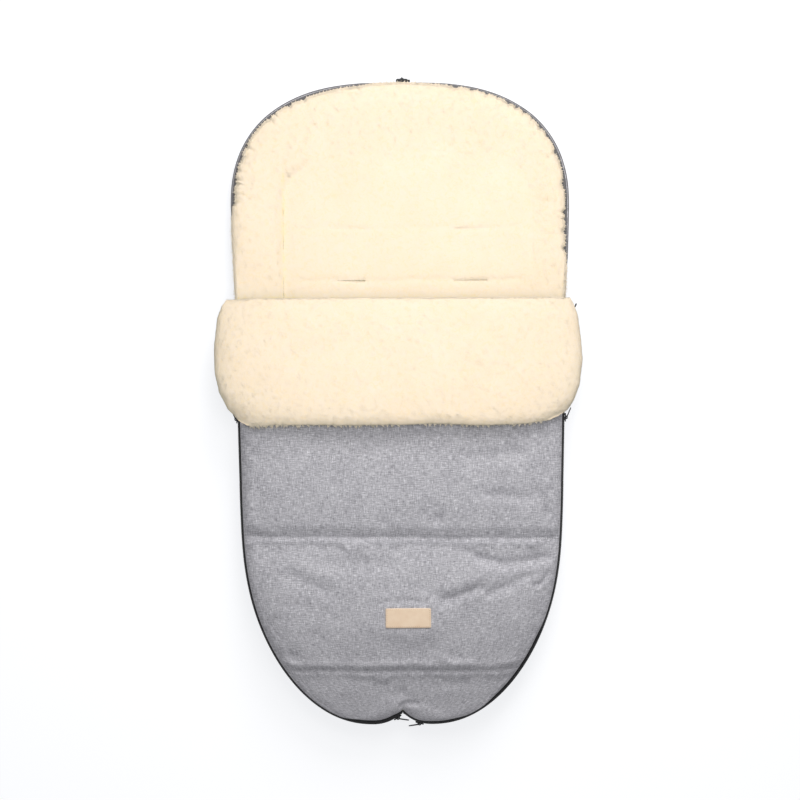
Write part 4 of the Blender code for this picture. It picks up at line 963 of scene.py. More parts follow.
def lock_shape(name, fibres, reach, rise, width, seed):
    """A lock of pile: curved fibres side by side that lie the same way along the surface."""
    verts, faces = [], []
    draw = np.random.default_rng(seed)
    for index in range(fibres):
        beside = (index - (fibres - 1) / 2) * width * 4.5
        turn = draw.uniform(-0.35, 0.35)
        along = Vector((math.cos(turn), math.sin(turn), 0))
        aside = Vector((-along.y, along.x, 0))
        root = Vector((draw.uniform(-0.35, 0.1) * reach, beside, -0.3 * MM))
        tip = root + along * reach * draw.uniform(0.6, 1.1)
        tip.z = rise * draw.uniform(0.1, 0.6)
        sag = aside * reach * draw.uniform(0.05, 0.22) + Vector((0, 0, rise * 0.45))
        fibre(verts, faces, root, tip, sag, width * draw.uniform(0.7, 1.2))
    return close_up(add_piece(name, verts, faces))


def wisp_shape(name, fibres, reach, spread, width, gather, seed):
    """A ragged point of pile along +Z: fibres from a wide root that gather towards its tip."""
    verts, faces = [], []
    draw = np.random.default_rng(seed)
    for index in range(fibres):
        place = draw.uniform(-1, 1)
        root = Vector((place * spread, draw.uniform(-1, 1) * width, 0))
        long = reach * (1 - 0.45 * abs(place)) * draw.uniform(0.75, 1.05)
        tip = Vector((place * spread * (1 - gather) + draw.uniform(-0.5, 0.5) * spread * 0.4,
                      draw.uniform(-1, 1) * reach * 0.12, long))
        sag = Vector((draw.uniform(-1, 1), draw.uniform(-1, 1), 0)) * reach * 0.07
        fibre(verts, faces, root, tip, sag, width * draw.uniform(0.8, 1.1))
    return close_up(add_piece(name, verts, faces))


# Padded back


EDGE_LOOP, PANEL_LOOP = body_loops(2.6 * MM, 5.0 * MM)
AROUND = path_length(np.concatenate([EDGE_LOOP, EDGE_LOOP[:1]]))
SLOT_LENGTH = 60 * MM
SLOT_WIDTH = 9 * MM
SLOT_WALL = 1.6 * MM
SLOT_FIT = 0.3 * MM
SLOTS = {
    "slot_lower_left": (PANEL_SHIFT - 95 * MM, 182 * MM),
    "slot_lower_right": (PANEL_SHIFT + 95 * MM, 182 * MM),
    "slot_upper_left": (PANEL_SHIFT - 95 * MM, 260 * MM),
    "slot_upper_right": (PANEL_SHIFT + 95 * MM, 260 * MM),
    "slot_crotch": (PANEL_SHIFT, -75 * MM),
}


def stadium(length, width, middle, steps=10):
    """Outline of a slot with round ends."""
    radius, straight = width / 2, length / 2 - width / 2
    points = []
    for side in (1, -1):
        for step in range(steps + 1):
            angle = -math.pi / 2 + math.pi * step / steps + (0 if side > 0 else math.pi)
            points.append((side * straight + radius * math.cos(angle), radius * math.sin(angle)))
    return np.array(points) + middle


def slot_holes():
    length = SLOT_LENGTH + 2 * (SLOT_WALL + SLOT_FIT)
    width = SLOT_WIDTH + 2 * (SLOT_WALL + SLOT_FIT)
    return [stadium(length, width, middle) for middle in SLOTS.values()]


RIM_LEFT = (  # length round the hood from its top, and width of outer fabric that shows, in mm
    (0, -1.0), (45, 0.5), (70, 2.8), (135, 5.0), (250, 3.2), (335, 4.2), (362, 1.5), (390, -1.0),
)
RIM_RIGHT = (
    (0, -1.0), (50, 0.8), (90, 2.2), (200, 3.2), (290, 4.8), (380, 5.0), (430, 3.0), (458, -0.6),
)


RIM_ROUND = 0.9 * MM  # inset of the rim's top from the edge


def hood_part(low_y):
    """The stations of the edge's loop that lie above a height, round the hood."""
    above = EDGE_LOOP[:, 1] > low_y
    return slice(int(np.argmax(above)), len(above) - int(np.argmax(above[::-1])))


def rim_width(loop):
    """Width of outer fabric that shows round the hood before the pile covers it."""
    middle = int(np.argmax(loop[:, 1] - np.abs(loop[:, 0])))
    length = path_length(loop)
    away = np.abs(length - length[middle]) / MM
    right = np.interp(away, *zip(*RIM_RIGHT))
    left = np.interp(away, *zip(*RIM_LEFT))
    return np.where(loop[:, 0] > 0, right, left) * MM


def ragged(loop):
    """How far the pile's edge falls back between its clumps, along the hood's rim."""
    length = path_length(loop)
    gaps = 2.3 * cloud_along(length, 8.5 * MM, 51) + 0.9 * cloud_along(length, 3.7 * MM, 52) - 0.1
    return 3.6 * MM * np.clip(gaps, 0, 1) * np.clip(rim_width(loop) / (2 * MM), 0, 1)


def make_back_fabric():
    """Outer fabric of the back: flat underside, side wall and rim, open at the slots."""
    rim = np.maximum(rim_width(EDGE_LOOP), 1.0 * MM)
    profile = [  # inset and height, from the flat underside up the wall and over the rim
        (22.0, 0.0), (16.0, 0.35), (10.5, 1.7), (6.0, 4.2), (2.8, 7.6), (0.9, 11.8), (0.1, 16.5),
        (0.0, 20.5), (0.0, 23.5), (0.0, 26.4), (0.25, 28.3), (0.9, 29.5),
    ]
    rings = [at_height(inset(EDGE_LOOP, d * MM), z * MM) for d, z in profile]
    for share, more, z in ((0.4, 0, 30.2), (0.8, 0, 30.4), (1.0, 0.6, 30.0), (1.0, 1.6, 28.0)):
        rings.append(at_height(inset(EDGE_LOOP, RIM_ROUND + rim * share + more * MM), z * MM))
    inner = inset(EDGE_LOOP, RIM_ROUND + rim + 1.8 * MM)
    rings.append(at_height(inner, WADDING_TOP))
    rings = np.array(rings)
    wall = rings[3:12].reshape(-1, 3)
    stir = (0.9 * cloud(wall, 45 * MM, 3) + 0.45 * cloud(wall, 14 * MM, 4)).reshape(9, -1)
    fade = np.array([0.3, 0.7, 1, 1, 0.9, 0.5, 0.3, 0.2, 0.1])[:, None]
    outward = EDGE_LOOP - inset(EDGE_LOOP, 1.0)
    rings[3:12, :, :2] += (np.minimum(stir * fade, 0.5) * MM)[..., None] * outward[None]
    across = path_length(rings[:, len(EDGE_LOOP) // 4])
    verts, faces, corner_uv = loft(rings, AROUND, across, False)
    verts = list(map(tuple, verts))
    holes = slot_holes()
    for loop, z, flip in ((rings[0, :, :2], 0.0, True), (inner, WADDING_TOP, False)):
        places, triangles = fill_region(loop, holes, [])
        start = len(verts)
        verts += [(*p, z) for p in places]
        for t in triangles:
            face = tuple(int(start + v) for v in (t[::-1] if flip else t))
            faces.append(face)
            corner_uv += [verts[v][:2] for v in face]
    for hole in holes:
        count = len(hole)
        start = len(verts)
        verts += [(*p, 0.0) for p in hole] + [(*p, WADDING_TOP) for p in hole]
        for k in range(count):
            m = (k + 1) % count
            face = (start + m, start + k, start + count + k, start + count + m)
            faces.append(face)
            corner_uv += [(verts[v][0], verts[v][2]) for v in face]
    piece = close_up(add_piece("back_fabric", verts, faces, corner_uv))
    dress(piece, "melange", "back", ["back_shell", "back_wadding"])


def tube(name, lines):
    """Closed tube through lines that run side by side round it, with flat ends."""
    lines = np.array(lines)
    count, stations = lines.shape[:2]
    faces = []
    for i in range(count):
        k = (i + 1) % count
        faces += [(i * stations + j, i * stations + j + 1, k * stations + j + 1, k * stations + j)
                  for j in range(stations - 1)]
    faces.append(tuple(i * stations for i in range(count)))
    faces.append(tuple(i * stations + stations - 1 for i in reversed(range(count))))
    return close_up(add_piece(name, lines.reshape(-1, 3), faces))


def round_tube(name, path, radius, sides=8):
    """Round tube along an open path, with its own radius at each point."""
    step = np.gradient(path, axis=0)
    step /= np.linalg.norm(step, axis=1)[:, None]
    across = at_height(np.column_stack([step[:, 1], -step[:, 0]]), 0.0)
    angles = [2 * math.pi * k / sides for k in range(sides)]
    return tube(name, [path + (across * math.cos(angle) + np.array([0, 0, math.sin(angle)]))
                       * radius[:, None] for angle in angles])


def make_rim_binding_and_painted_shade():
    """Dark binding on the hood's very edge, whose darkness is partly painted shade of the rim
    turned from the light, and a dark tape under the pile's ragged ends that paints the shade in
    the gaps between its clumps and over the rim.
    """
    hood = hood_part(CREASE_Y + 1 * MM)
    rim = rim_width(EDGE_LOOP)
    shown = np.clip(rim / (1.6 * MM), 0, 1)[hood]
    path = at_height(inset(EDGE_LOOP, 0.35 * MM)[hood], 29.1 * MM)
    # painted shade: the binding darkens the rim's edge where it turns from the light
    dress(round_tube("hood_binding", path, (0.25 + 0.6 * shown) * MM), "binding_and_painted_shade", "back")
    # painted shade: a dark tape that shows between the pile's clumps and over the rim
    rings = []
    for share, more, z in ((0.3, 0, 30.4), (0.5, 0, 30.9), (1.0, 6.0, 31.0), (1.0, 6.4, 30.2)):
        loop = inset(EDGE_LOOP, RIM_ROUND + np.maximum(rim, 0) * share + more * MM)[hood]
        rings.append(at_height(loop, z * MM))
    low = [ring - (0, 0, 0.6 * MM) for ring in reversed(rings)]
    dress(tube("hood_hem_tape", rings + low), "binding_and_painted_shade", "back")


# Fleece


def pile_height(points, seed):
    """Height of the pile over a surface, and how deep between its locks each point lies."""
    lock = cells(points, 11 * MM, seed)
    small = cells(points, 5.2 * MM, seed + 1)
    wave = cloud(points, 40 * MM, seed + 2)
    fuzz = cloud(points, 3.2 * MM, seed + 3)
    rise = 0.42 * lock**0.6 + 0.3 * small + 1.2 * wave + 0.12 * fuzz + 0.8
    return rise * MM, 0.6 * lock + 0.4 * small


def raise_pile(piece, seed, upto=None):
    """Push a fleece surface out into locks of pile, along its own normals."""
    points, normals = points_and_normals(piece)
    rise, depth = pile_height(points, seed)
    if upto is not None:
        rise = rise * upto(points)
    place_points(piece, points + normals * (rise - 1.2 * MM)[:, None])
    # the pile attribute paints shade: darker and yellower deep between the locks and in the
    # creases
    store(piece, "pile", (0.35 + 0.65 * depth) * (1 - painted_shade_of(points)))


def hood_share(y):
    """The lining's border stands up round the open hood and lies flat under the cover."""
    return smooth(CREASE_Y - 20 * MM, HOOD_WIDEST_Y - 40 * MM, y)


def open_share(points):
    """One where the lining lies open to view, falling away inside the bag."""
    return 0.35 + 0.65 * smooth(100 * MM, 150 * MM, points[:, 1])


def left_crease(x, y):
    """The crease beside the panel's left edge, which fades round its upper corner."""
    return smooth(120 * MM, 160 * MM, -x) * smooth(372 * MM, 335 * MM, y)


def painted_shade_of(points):
    """Painted shade, from 0 to 1, in the folds that the pile closes over: at the crease under the
    cuff and beside the panel's left edge.
    """
    x, y, z = points.T
    # strength of the painted crease shade along the crease, strongest near x = -172 mm
    under = 0.75 + 0.25 * np.sin(x / (27 * MM) + 0.6) * np.sin(x / (9 * MM))
    under = under + 0.35 * bell(x + 172 * MM, 26 * MM)
    at_crease = np.exp(-np.maximum(y - CREASE_Y - 0.5 * MM, 0) / (4.2 * MM)) * (z < 60 * MM)
    at_crease = at_crease * (0.2 + 0.8 * smooth(CREASE_Y - 40 * MM, CREASE_Y - 6 * MM, y))
    beside = np.abs(x - (PANEL_SHIFT - PANEL_HALF_WIDTH))
    along_panel = 0.5 * left_crease(x, y) * bell(beside, 3.6 * MM) * (z < 60 * MM)
    return np.clip(np.maximum(at_crease * under, along_panel), 0, 1)


BORDER_RISE = 15 * MM
BORDER_INNER = 0.42  # share of that rise left where the border meets the panel
LEFT_CREASE_DEPTH = 6 * MM


def make_lining_border():
    """Raised border of the lining, from the rim to the panel."""
    rim, fallen = rim_width(EDGE_LOOP), ragged(EDGE_LOOP)
    held = inset(EDGE_LOOP, RIM_ROUND + np.maximum(rim, 1.0 * MM) + fallen + 1.9 * MM)
    outer = inset(EDGE_LOOP, RIM_ROUND + rim + fallen)
    count = 46
    share = np.linspace(0, 1, count)
    place = share**1.15
    roll = np.interp(share, [0, 0.04, 0.1, 0.22, 0.36, 0.6, 0.8, 0.92, 1.0],
                     [0.02, 0.3, 0.6, 0.9, 1.0, 0.8, 0.58, 0.46, BORDER_INNER])
    roll = running_mean(roll, 5)
    roll[-1] = BORDER_INNER
    crease = bell(1 - share, 0.075)
    fold = left_crease(PANEL_LOOP[:, 0], PANEL_LOOP[:, 1])
    depth = LEFT_CREASE_DEPTH * fold
    rings = [at_height(held, LINING_UNDER), at_height(held, LINING_UNDER + 8.6 * MM)]
    rise = BORDER_RISE * hood_share(EDGE_LOOP[:, 1])
    for k in range(count):
        loop = outer + (PANEL_LOOP - outer) * place[k]
        rings.append(at_height(loop, LINING_TOP + rise * roll[k] - depth * crease[k]))
    rings.append(at_height(PANEL_LOOP, LINING_UNDER))
    rings = np.array(rings)
    across = np.append(path_length(rings[:, 0]), 0.2)
    verts, faces, corner_uv = loft(rings, AROUND, across, True)
    piece = close_up(add_piece("lining_border", verts, faces, corner_uv))
    raise_pile(piece, 1, lambda p: open_share(p) * smooth(24 * MM, 30 * MM, p[:, 2]))
    sharpen(piece)
    dress(piece, "fleece", "back", ["back_fleece_border"])
    return piece


def seam_valley(places, y, x_from, x_to, depth, width):
    """Depth of a slightly wavy valley across the panel, fading at both ends."""
    x, away = places[:, 0], places[:, 1] - y
    ends = smooth(x_from - 15 * MM, x_from + 15 * MM, x)
    ends = ends * smooth(x_to + 15 * MM, x_to - 15 * MM, x)
    wander = 1.5 * MM * np.sin(x / (23 * MM)) + 0.8 * MM * np.sin(x / (9 * MM))
    return depth * ends * bell(away - wander, width)


SLITS = {  # middle and length along X, and width, of the gap between a slot's fleece lips, in mm
    "slot_lower_left": (-76, 46, 0.4), "slot_lower_right": (106, 49, 0.4),
    "slot_upper_left": (-80, 48, 0.2), "slot_upper_right": (107, 50, 0.2),
    "slot_crotch": (12, 50, 3.0),
}


def slit_of(name):
    """Length, width and middle of a slit."""
    middle, length, width = (value * MM for value in SLITS[name])
    return length, width, np.array([middle, SLOTS[name][1]])


def make_lining_panel():
    """Flat inner part of the lining, with its slits and the quilting between them."""
    outline = inset(PANEL_LOOP, -0.7 * MM)
    slits = [stadium(*slit_of(name), 6) for name in SLITS]
    lowest, highest = outline.min(0), outline.max(0)
    split = 128 * MM
    points = []
    for step, low, high in ((2.7 * MM, split, highest[1]), (9 * MM, lowest[1], split)):
        ys = np.arange(low, high, step)
        xs = np.arange(lowest[0], highest[0], step)
        grid = np.stack(np.meshgrid(xs, ys), -1).reshape(-1, 2)
        points.append(grid + (0.17 * step, 0.11 * step))
    points = np.concatenate(points)
    points = points[inside_polygon(points, inset(outline, 1.8 * MM))]
    for name in SLITS:
        length, width, middle = slit_of(name)
        clear = stadium(length + 3 * MM, width + 3 * MM, middle)
        points = points[~inside_polygon(points, clear)]
        points = np.concatenate([points, stadium(length + 3.4 * MM, width + 3.4 * MM, middle, 8)])
    places, triangles = fill_region(outline, slits, points)
    x, y = places[:, 0], places[:, 1]
    z = np.full(len(places), LINING_TOP)
    z -= seam_valley(places, 182 * MM, -165 * MM, 188 * MM, 1.7 * MM, 4.2 * MM)
    z -= seam_valley(places, 260 * MM, -158 * MM, 184 * MM, 1.0 * MM, 4.2 * MM)
    for name in SLITS:
        length, width, middle = slit_of(name)
        away_x = np.maximum(np.abs(x - middle[0]) - length / 2, 0)
        away = np.hypot(away_x, np.maximum(np.abs(y - middle[1]) - width / 2, 0))
        z -= 0.9 * MM * bell(away, 3.0 * MM)
    z += 4.0 * MM * np.sin(np.clip((y - 182 * MM) / (195 * MM), 0, 1) * math.pi)
    right = smooth(70 * MM, PANEL_SHIFT + PANEL_HALF_WIDTH, x)
    top = smooth(300 * MM, PANEL_TOP_Y, y)
    z += 4.6 * MM * np.maximum(right, top) * hood_share(y)
    beside = np.abs(x - (PANEL_SHIFT - PANEL_HALF_WIDTH))
    z -= 4.6 * MM * left_crease(x, y) * bell(beside, 6 * MM)
    fold = left_crease(PANEL_LOOP[:, 0], PANEL_LOOP[:, 1])
    edge_z = LINING_TOP + BORDER_RISE * BORDER_INNER * hood_share(EDGE_LOOP[:, 1])
    edge_z = edge_z - LEFT_CREASE_DEPTH * fold
    index, near = nearest(places, PANEL_LOOP)
    z = z + (edge_z[index] - z) * bell(near, 16 * MM)
    piece = slab("lining_panel", places, triangles, z, LINING_UNDER)
    raise_pile(piece, 1, lambda p: open_share(p) * smooth(24 * MM, 29 * MM, p[:, 2]))
    sharpen(piece)
    dress(piece, "fleece", "back", ["back_fleece_panel"])
    return piece


def make_slot_lips():
    """The bound passage through the back behind each slit in the lining."""
    outer = (SLOT_LENGTH + 2 * SLOT_WALL, SLOT_WIDTH + 2 * SLOT_WALL)
    for name, centre in SLOTS.items():
        length, slit, middle = slit_of(name)
        rings = []
        for long, wide, z, place in (
            (*outer, 0.3, centre), (*outer, 12.0, centre), (*outer, 20.4, centre),
            (outer[0] - 1 * MM, outer[1] - 1 * MM, 21.5, centre),
            (length + 4 * MM, slit + 4 * MM, 21.7, middle),
            (length + 2.4 * MM, slit + 2.4 * MM, 21.2, middle),
            (length + 1 * MM, 1 * MM, 17.5, middle - (0, 3.4 * MM)),
            (SLOT_LENGTH, SLOT_WIDTH, 12.0, centre), (SLOT_LENGTH, SLOT_WIDTH, 0.3, centre),
        ):
            rings.append(at_height(stadium(long, wide, place), z * MM))
        rings = np.array(rings)
        around = path_length(np.concatenate([rings[2], rings[2][:1]]))
        across = np.append(path_length(rings[:, 0]), 0.1)
        verts, faces, corner_uv = loft(rings, around, across, True)
        piece = close_up(add_piece(name + "_passage", verts, faces, corner_uv))
        # a fixed low pile value paints shade inside the passage
        store(piece, "pile", np.full(len(piece.data.vertices), 0.22))
        dress(piece, "fleece", "back", [name])


# Quilted cover


def spread_shares(count, crowd):
    """Shares from -1 to 1, closer together near the two sides."""
    even = np.linspace(-1, 1, count)
    return np.sign(even) * (1 - (1 - np.abs(even)) ** crowd)


SEAM_1_Y = -204 * MM
SEAM_2_Y = -402 * MM
LABEL_LOW, LABEL_HIGH = (np.array(corner)[:2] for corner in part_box("leather_label"))
LABEL_MIDDLE = (LABEL_LOW + LABEL_HIGH) / 2
LABEL_SIZE = LABEL_HIGH - LABEL_LOW
ZIP_SHOWS = 3.0 * MM  # width of zip seen outside the fabric's edge
WRINKLES = (  # pixels of the photograph along each fold, half width and height in mm
    (((472, 556), (488, 562), (507, 565), (530, 562), (552, 558)), 7.5, -4.0),
    (((480, 544), (507, 547), (545, 543)), 9.0, 1.4),
    (((531, 584), (540, 586), (547, 578), (551, 572)), 3.2, -2.4),
    (((437, 604), (460, 596), (485, 586)), 6.0, -3.0),
    (((485, 596), (505, 588), (520, 580), (535, 575)), 6.5, -2.6),
    (((432, 592), (465, 582), (500, 570)), 10.0, 1.6),
    (((280, 572), (305, 583), (335, 595)), 11.0, -2.2),
    (((315, 563), (345, 566), (400, 566)), 12.0, -2.4),
    (((462, 457), (490, 455), (525, 451)), 9.0, -1.5),
    (((480, 494), (510, 496), (540, 500)), 8.0, -1.8),
    (((530, 486), (543, 497), (550, 520)), 6.0, -2.0),
    (((436, 529), (438, 520), (440, 512)), 7.5, -3.4),
    (((382, 530), (384, 524), (389, 518)), 8.0, -2.6),
    (((300, 440), (350, 447), (420, 440)), 14.0, -1.0),
    (((240, 640), (262, 652), (300, 660)), 9.0, -1.2),
    (((430, 690), (450, 684), (470, 686)), 9.0, -1.2),
    (((398, 712), (404, 706), (420, 706)), 4.5, -3.2),
    (((392, 706), (400, 698), (404, 688)), 6.0, -2.0),
)


def seam_line(x, y, tilt):
    """Where a quilting seam runs: nearly straight, a little wavy where it puckers."""
    sway = 0.5 * MM * np.sin(x / (19 * MM) + 1.2) + 0.3 * MM * np.sin(x / (7.3 * MM))
    return y + sway + tilt(x)


def seam_1(x):
    return seam_line(x, SEAM_1_Y + 4.5 * MM, lambda v: -5.0 * MM * (v + 230 * MM) / (460 * MM))


def seam_2(x):
    return seam_line(x, SEAM_2_Y + 2.5 * MM, lambda v: 8 * MM * smooth(130 * MM, 205 * MM, v)
                     - 2.6 * MM * v / (460 * MM))


def stroke_height(places, stroke):
    """Rise of one fold along its line, fading at both ends."""
    pixels, width, height = stroke
    line = np.array([photo_place(c, r, CROWN_Z) for c, r in pixels])
    total = path_length(line)
    best = np.full(len(places), 1e9)
    where = np.zeros(len(places))
    for k in range(len(line) - 1):
        step = line[k + 1] - line[k]
        share = np.clip(((places - line[k]) @ step) / (step @ step), 0, 1)
        away = np.linalg.norm(places - line[k] - share[:, None] * step, axis=1)
        nearer = away < best
        best = np.where(nearer, away, best)
        where = np.where(nearer, total[k] + share * np.linalg.norm(step), where)
    ends = smooth(-width * 0.6 * MM, width * MM * 1.6, where)
    ends = ends * smooth(total[-1] + width * 0.6 * MM, total[-1] - width * 1.6 * MM, where)
    return 1.5 * height * MM * ends * bell(best, width * MM)


def quilt_drop(x, y):
    """How far the fabric is drawn down at and near the quilting seams."""
    drop = np.zeros(len(x))
    for line, depth, band in ((seam_1, 16 * MM, 20 * MM), (seam_2, 12.5 * MM, 14 * MM)):
        away = y - line(x)
        turn = math.pi / 2 * np.clip(np.abs(away) / band, 0, 1)
        above = 0.74 * (1 - np.sin(turn)) + 0.26 * bell(away, 46 * MM)
        below = 0.3 * np.exp(-np.abs(away) / (5 * MM)) + 0.7 * bell(away, 38 * MM)
        drop = np.maximum(drop, depth * np.where(away > 0, above, below))
    return drop


def puckers(x, y):
    """Short gathers that run into the quilting seams."""
    rise = np.zeros(len(x))
    for line, seed in ((seam_1, 1.7), (seam_2, 4.1)):
        away = y - line(x)
        near = np.exp(-np.abs(away) / (13 * MM)) * (1 - np.exp(-np.abs(away) / (2.2 * MM)))
        lean = x + 0.3 * away
        beat = np.sin(lean / (5.2 * MM) + 2 * np.sin(lean / (31 * MM) + seed))
        strength = 0.5 + 0.5 * np.sin(lean / (47 * MM) + seed) * np.sin(lean / (17 * MM))
        rise += 1.1 * MM * near * beat * strength
    return rise


SETTLE_ROWS = np.linspace(-14 * MM, FOOT_END_Y, 118)
SETTLE_SHARES = spread_shares(108, 1.15)
SETTLE_EXCESS = 0.035  # more fabric than the plan holds, which the padding puffs out
SETTLE_CAP = 6 * MM
SETTLE_FRAMES = 22


def settle_cover():
    """Rise and fall of the cover's fabric when padding fills it, found by Cloth.

    The fabric is held along its edge, its two seams and the label, and pressed outwards.
    """
    share_grid, row_grid = np.meshgrid(SETTLE_SHARES, SETTLE_ROWS)
    plan = cover_plan(SETTLE_ROWS, SETTLE_SHARES, ZIP_SHOWS).reshape(-1, 2)
    x, y = plan.T
    fill = crown_fill(share_grid.ravel(), row_grid.ravel())
    start = cover_height(fill)
    start -= quilt_drop(x, y) * np.minimum(fill * 1.15, 1.0)
    flat = at_height(plan, 0.0)
    uneven = 0.5 * MM * cloud(flat, 17 * MM, 15) + 0.3 * MM * cloud(flat, 7 * MM, 16)
    points = np.column_stack([plan, start + uneven * fill])
    piece = add_piece("settling_cover", points, sheet_faces(*row_grid.shape))
    held = np.zeros(row_grid.shape, bool)
    held[[0, -1]] = True
    held[:, [0, -1]] = True
    step = SETTLE_ROWS[0] - SETTLE_ROWS[1]
    for line in (seam_1, seam_2):
        held |= (np.abs(y - line(x)) < 0.55 * step).reshape(held.shape)
    on_label = np.max(np.abs(plan - LABEL_MIDDLE) / (LABEL_SIZE / 2), axis=1) < 1.0
    held |= on_label.reshape(held.shape)
    group = piece.vertex_groups.new(name="held")
    group.add(np.flatnonzero(held.ravel()).tolist(), 1.0, "REPLACE")
    cloth = piece.modifiers.new("padding", "CLOTH")
    settings = cloth.settings
    settings.quality = 6
    settings.mass = 0.2
    settings.vertex_group_mass = "held"
    settings.tension_stiffness = settings.compression_stiffness = 22.0
    settings.shear_stiffness = 9.0
    settings.bending_stiffness = 0.28
    settings.shrink_min = settings.shrink_max = -SETTLE_EXCESS
    settings.use_pressure = True
    settings.uniform_pressure_force = 3.0
    settings.effector_weights.gravity = 0.0
    cloth.collision_settings.use_collision = False
    cloth.point_cache.frame_start, cloth.point_cache.frame_end = 1, SETTLE_FRAMES
    scene = bpy.context.scene
    for frame_number in range(1, SETTLE_FRAMES + 1):
        scene.frame_set(frame_number)
    graph = bpy.context.evaluated_depsgraph_get()
    settled = piece.evaluated_get(graph).to_mesh()
    rise = vectors(settled.vertices, "co")[:, 2] - start
    scene.frame_set(1)
    drop(piece)
    return np.clip(rise, -SETTLE_CAP, SETTLE_CAP).reshape(row_grid.shape)


def sampled(grid, down, along):
    """Smooth value of a grid at fractional places down and along it."""
    rows, columns = grid.shape
    i, j = np.floor(down).astype(int), np.floor(along).astype(int)
    v, u = down - i, along - j

    def weights(t):
        return (-0.5 * t + t**2 - 0.5 * t**3, 1 - 2.5 * t**2 + 1.5 * t**3,
                0.5 * t + 2 * t**2 - 1.5 * t**3, -0.5 * t**2 + 0.5 * t**3)

    total = np.zeros(len(i))
    for a, row_weight in enumerate(weights(v)):
        for b, column_weight in enumerate(weights(u)):
            row = np.clip(i + a - 1, 0, rows - 1)
            column = np.clip(j + b - 1, 0, columns - 1)
            total += row_weight * column_weight * grid[row, column]
    return total


SETTLED = []  # filled once, before the cover is made


def settled_rise(shares, rows):
    down = np.interp(-rows, -SETTLE_ROWS, np.arange(len(SETTLE_ROWS)))
    along = np.interp(shares, SETTLE_SHARES, np.arange(len(SETTLE_SHARES)))
    return sampled(SETTLED[0], down, along)


def cover_detail(places, shares, rows):
    """Everything that moves the cover's top away from its smooth crown."""
    x, y = places[:, 0], places[:, 1]
    points = at_height(places, 0.0)
    fill = crown_fill(shares, rows)
    calm = smooth(-24 * MM, -50 * MM, y)
    seam_gap = np.minimum(np.abs(y - seam_1(x)), np.abs(y - seam_2(x)))
    free = 0.7 - 0.6 * bell(seam_gap, 9 * MM)
    rise = -quilt_drop(x, y) + 0.5 * puckers(x, y) + free * settled_rise(shares, rows)
    rise -= 12 * MM * smooth(-395 * MM, -462 * MM, y)
    small = 0.8 * cloud(points * (1, 1.6, 1), 34 * MM, 12)
    rise += (1.8 * cloud(points, 85 * MM, 11) + small) * MM
    for stroke in WRINKLES:
        rise += stroke_height(places, stroke)
    flat = np.linalg.norm((places - LABEL_MIDDLE) / (LABEL_SIZE * (0.66, 0.9)), axis=1)
    rise = rise * smooth(0.75, 1.9, flat) - 0.8 * MM * (1 - smooth(0.75, 1.9, flat))
    rise += stroke_height(places, (((382, 603), (408, 601), (430, 603)), 4.5, -1.6))
    edge = np.minimum(fill * 1.15, 1.0)
    return rise * calm * edge


def cover_top(places, shares, rows):
    return cover_height(crown_fill(shares, rows)) + cover_detail(places, shares, rows)


def fine_rows(stops):
    """Row heights from a table of (y, spacing), top to bottom."""
    rows = []
    for (start, step), (end, _) in zip(stops, stops[1:]):
        count = max(int(round((start - end) / step)), 1)
        rows += list(np.linspace(start, end, count, endpoint=False))
    return np.array(rows + [stops[-1][0]])


def zip_shown(places):
    """Width of zip that shows outside the fabric, wider on the foot's two lobes."""
    x, y = places[..., 0], places[..., 1]
    foot = smooth(-440 * MM, -470 * MM, y)
    left = smooth(0, 15 * MM, -x) * smooth(95 * MM, 60 * MM, -x)
    right = smooth(20 * MM, 40 * MM, x) * smooth(100 * MM, 75 * MM, x)
    calf = smooth(70 * MM, 110 * MM, x) * smooth(-320 * MM, -360 * MM, y)
    calf = calf * smooth(-458 * MM, -438 * MM, y)
    return ZIP_SHOWS + foot * (3.2 * MM * left + 1.7 * MM * right) + 2.2 * MM * calf


def drawn_back(plan):
    """The fabric's plan with its edge drawn back where more of the zip shows."""
    edge = RAW_EDGE[::5]
    step = np.gradient(edge, axis=0)
    inward = np.column_stack([step[:, 1], -step[:, 0]])
    inward /= np.linalg.norm(inward, axis=1)[:, None]
    flat = plan.reshape(-1, 2).copy()
    extra = zip_shown(flat) - ZIP_SHOWS
    chosen = np.flatnonzero(extra > 0.01 * MM)
    side = np.where(flat[chosen, :1] < 0, -1.0, 1.0) * (1, 0) + (0, 1)
    index, gap = nearest(flat[chosen] * side, edge)
    fade = np.exp(-np.maximum(gap - ZIP_SHOWS, 0) / (8 * MM))
    flat[chosen] += inward[index] * side * (extra[chosen] * fade)[:, None]
    return flat.reshape(plan.shape)


def cover_grid():
    rows = fine_rows([
        (148.0 * MM, 5 * MM), (-25 * MM, 2.8 * MM), (-440 * MM, 2.2 * MM), (-470 * MM, 1.2 * MM),
        (-479.5 * MM, 0.5 * MM), (FOOT_END_Y, 1.0 * MM),
    ])
    shares = spread_shares(190, 1.25)
    return rows, shares


def make_cover_fabric():
    """Quilted outer fabric of the cover and of the flap under the cuff."""
    rows, shares = cover_grid()
    share_grid, row_grid = np.meshgrid(shares, rows)
    plan = cover_plan(rows, shares, ZIP_SHOWS)
    flat = plan.reshape(-1, 2)
    z = cover_top(flat, share_grid.ravel(), row_grid.ravel()).reshape(row_grid.shape)
    top = np.dstack([drawn_back(plan), z])
    under_plan = drawn_back(cover_plan(rows, shares, ZIP_SHOWS + 0.8 * MM))
    fill = crown_fill(share_grid.ravel(), row_grid.ravel()).reshape(z.shape)
    low = COVER_EDGE_LOW + 3 * MM + (LINING_CROWN_HIGH + 1 * MM - COVER_EDGE_LOW - 3 * MM) * fill
    bottom = np.dstack([under_plan, np.minimum(low, z - 1.5 * MM)])
    u = np.concatenate([[0], np.cumsum(np.diff(shares))]) * HALF_WIDTH
    uv = np.dstack([np.broadcast_to(u, z.shape) + 0 * z, row_grid])
    piece = padded_grid("cover_fabric", top, bottom, uv)
    dress(piece, "melange", None, ["cover_shell", "cover_wadding", "flap_shell", "flap_wadding"])
    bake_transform(piece)


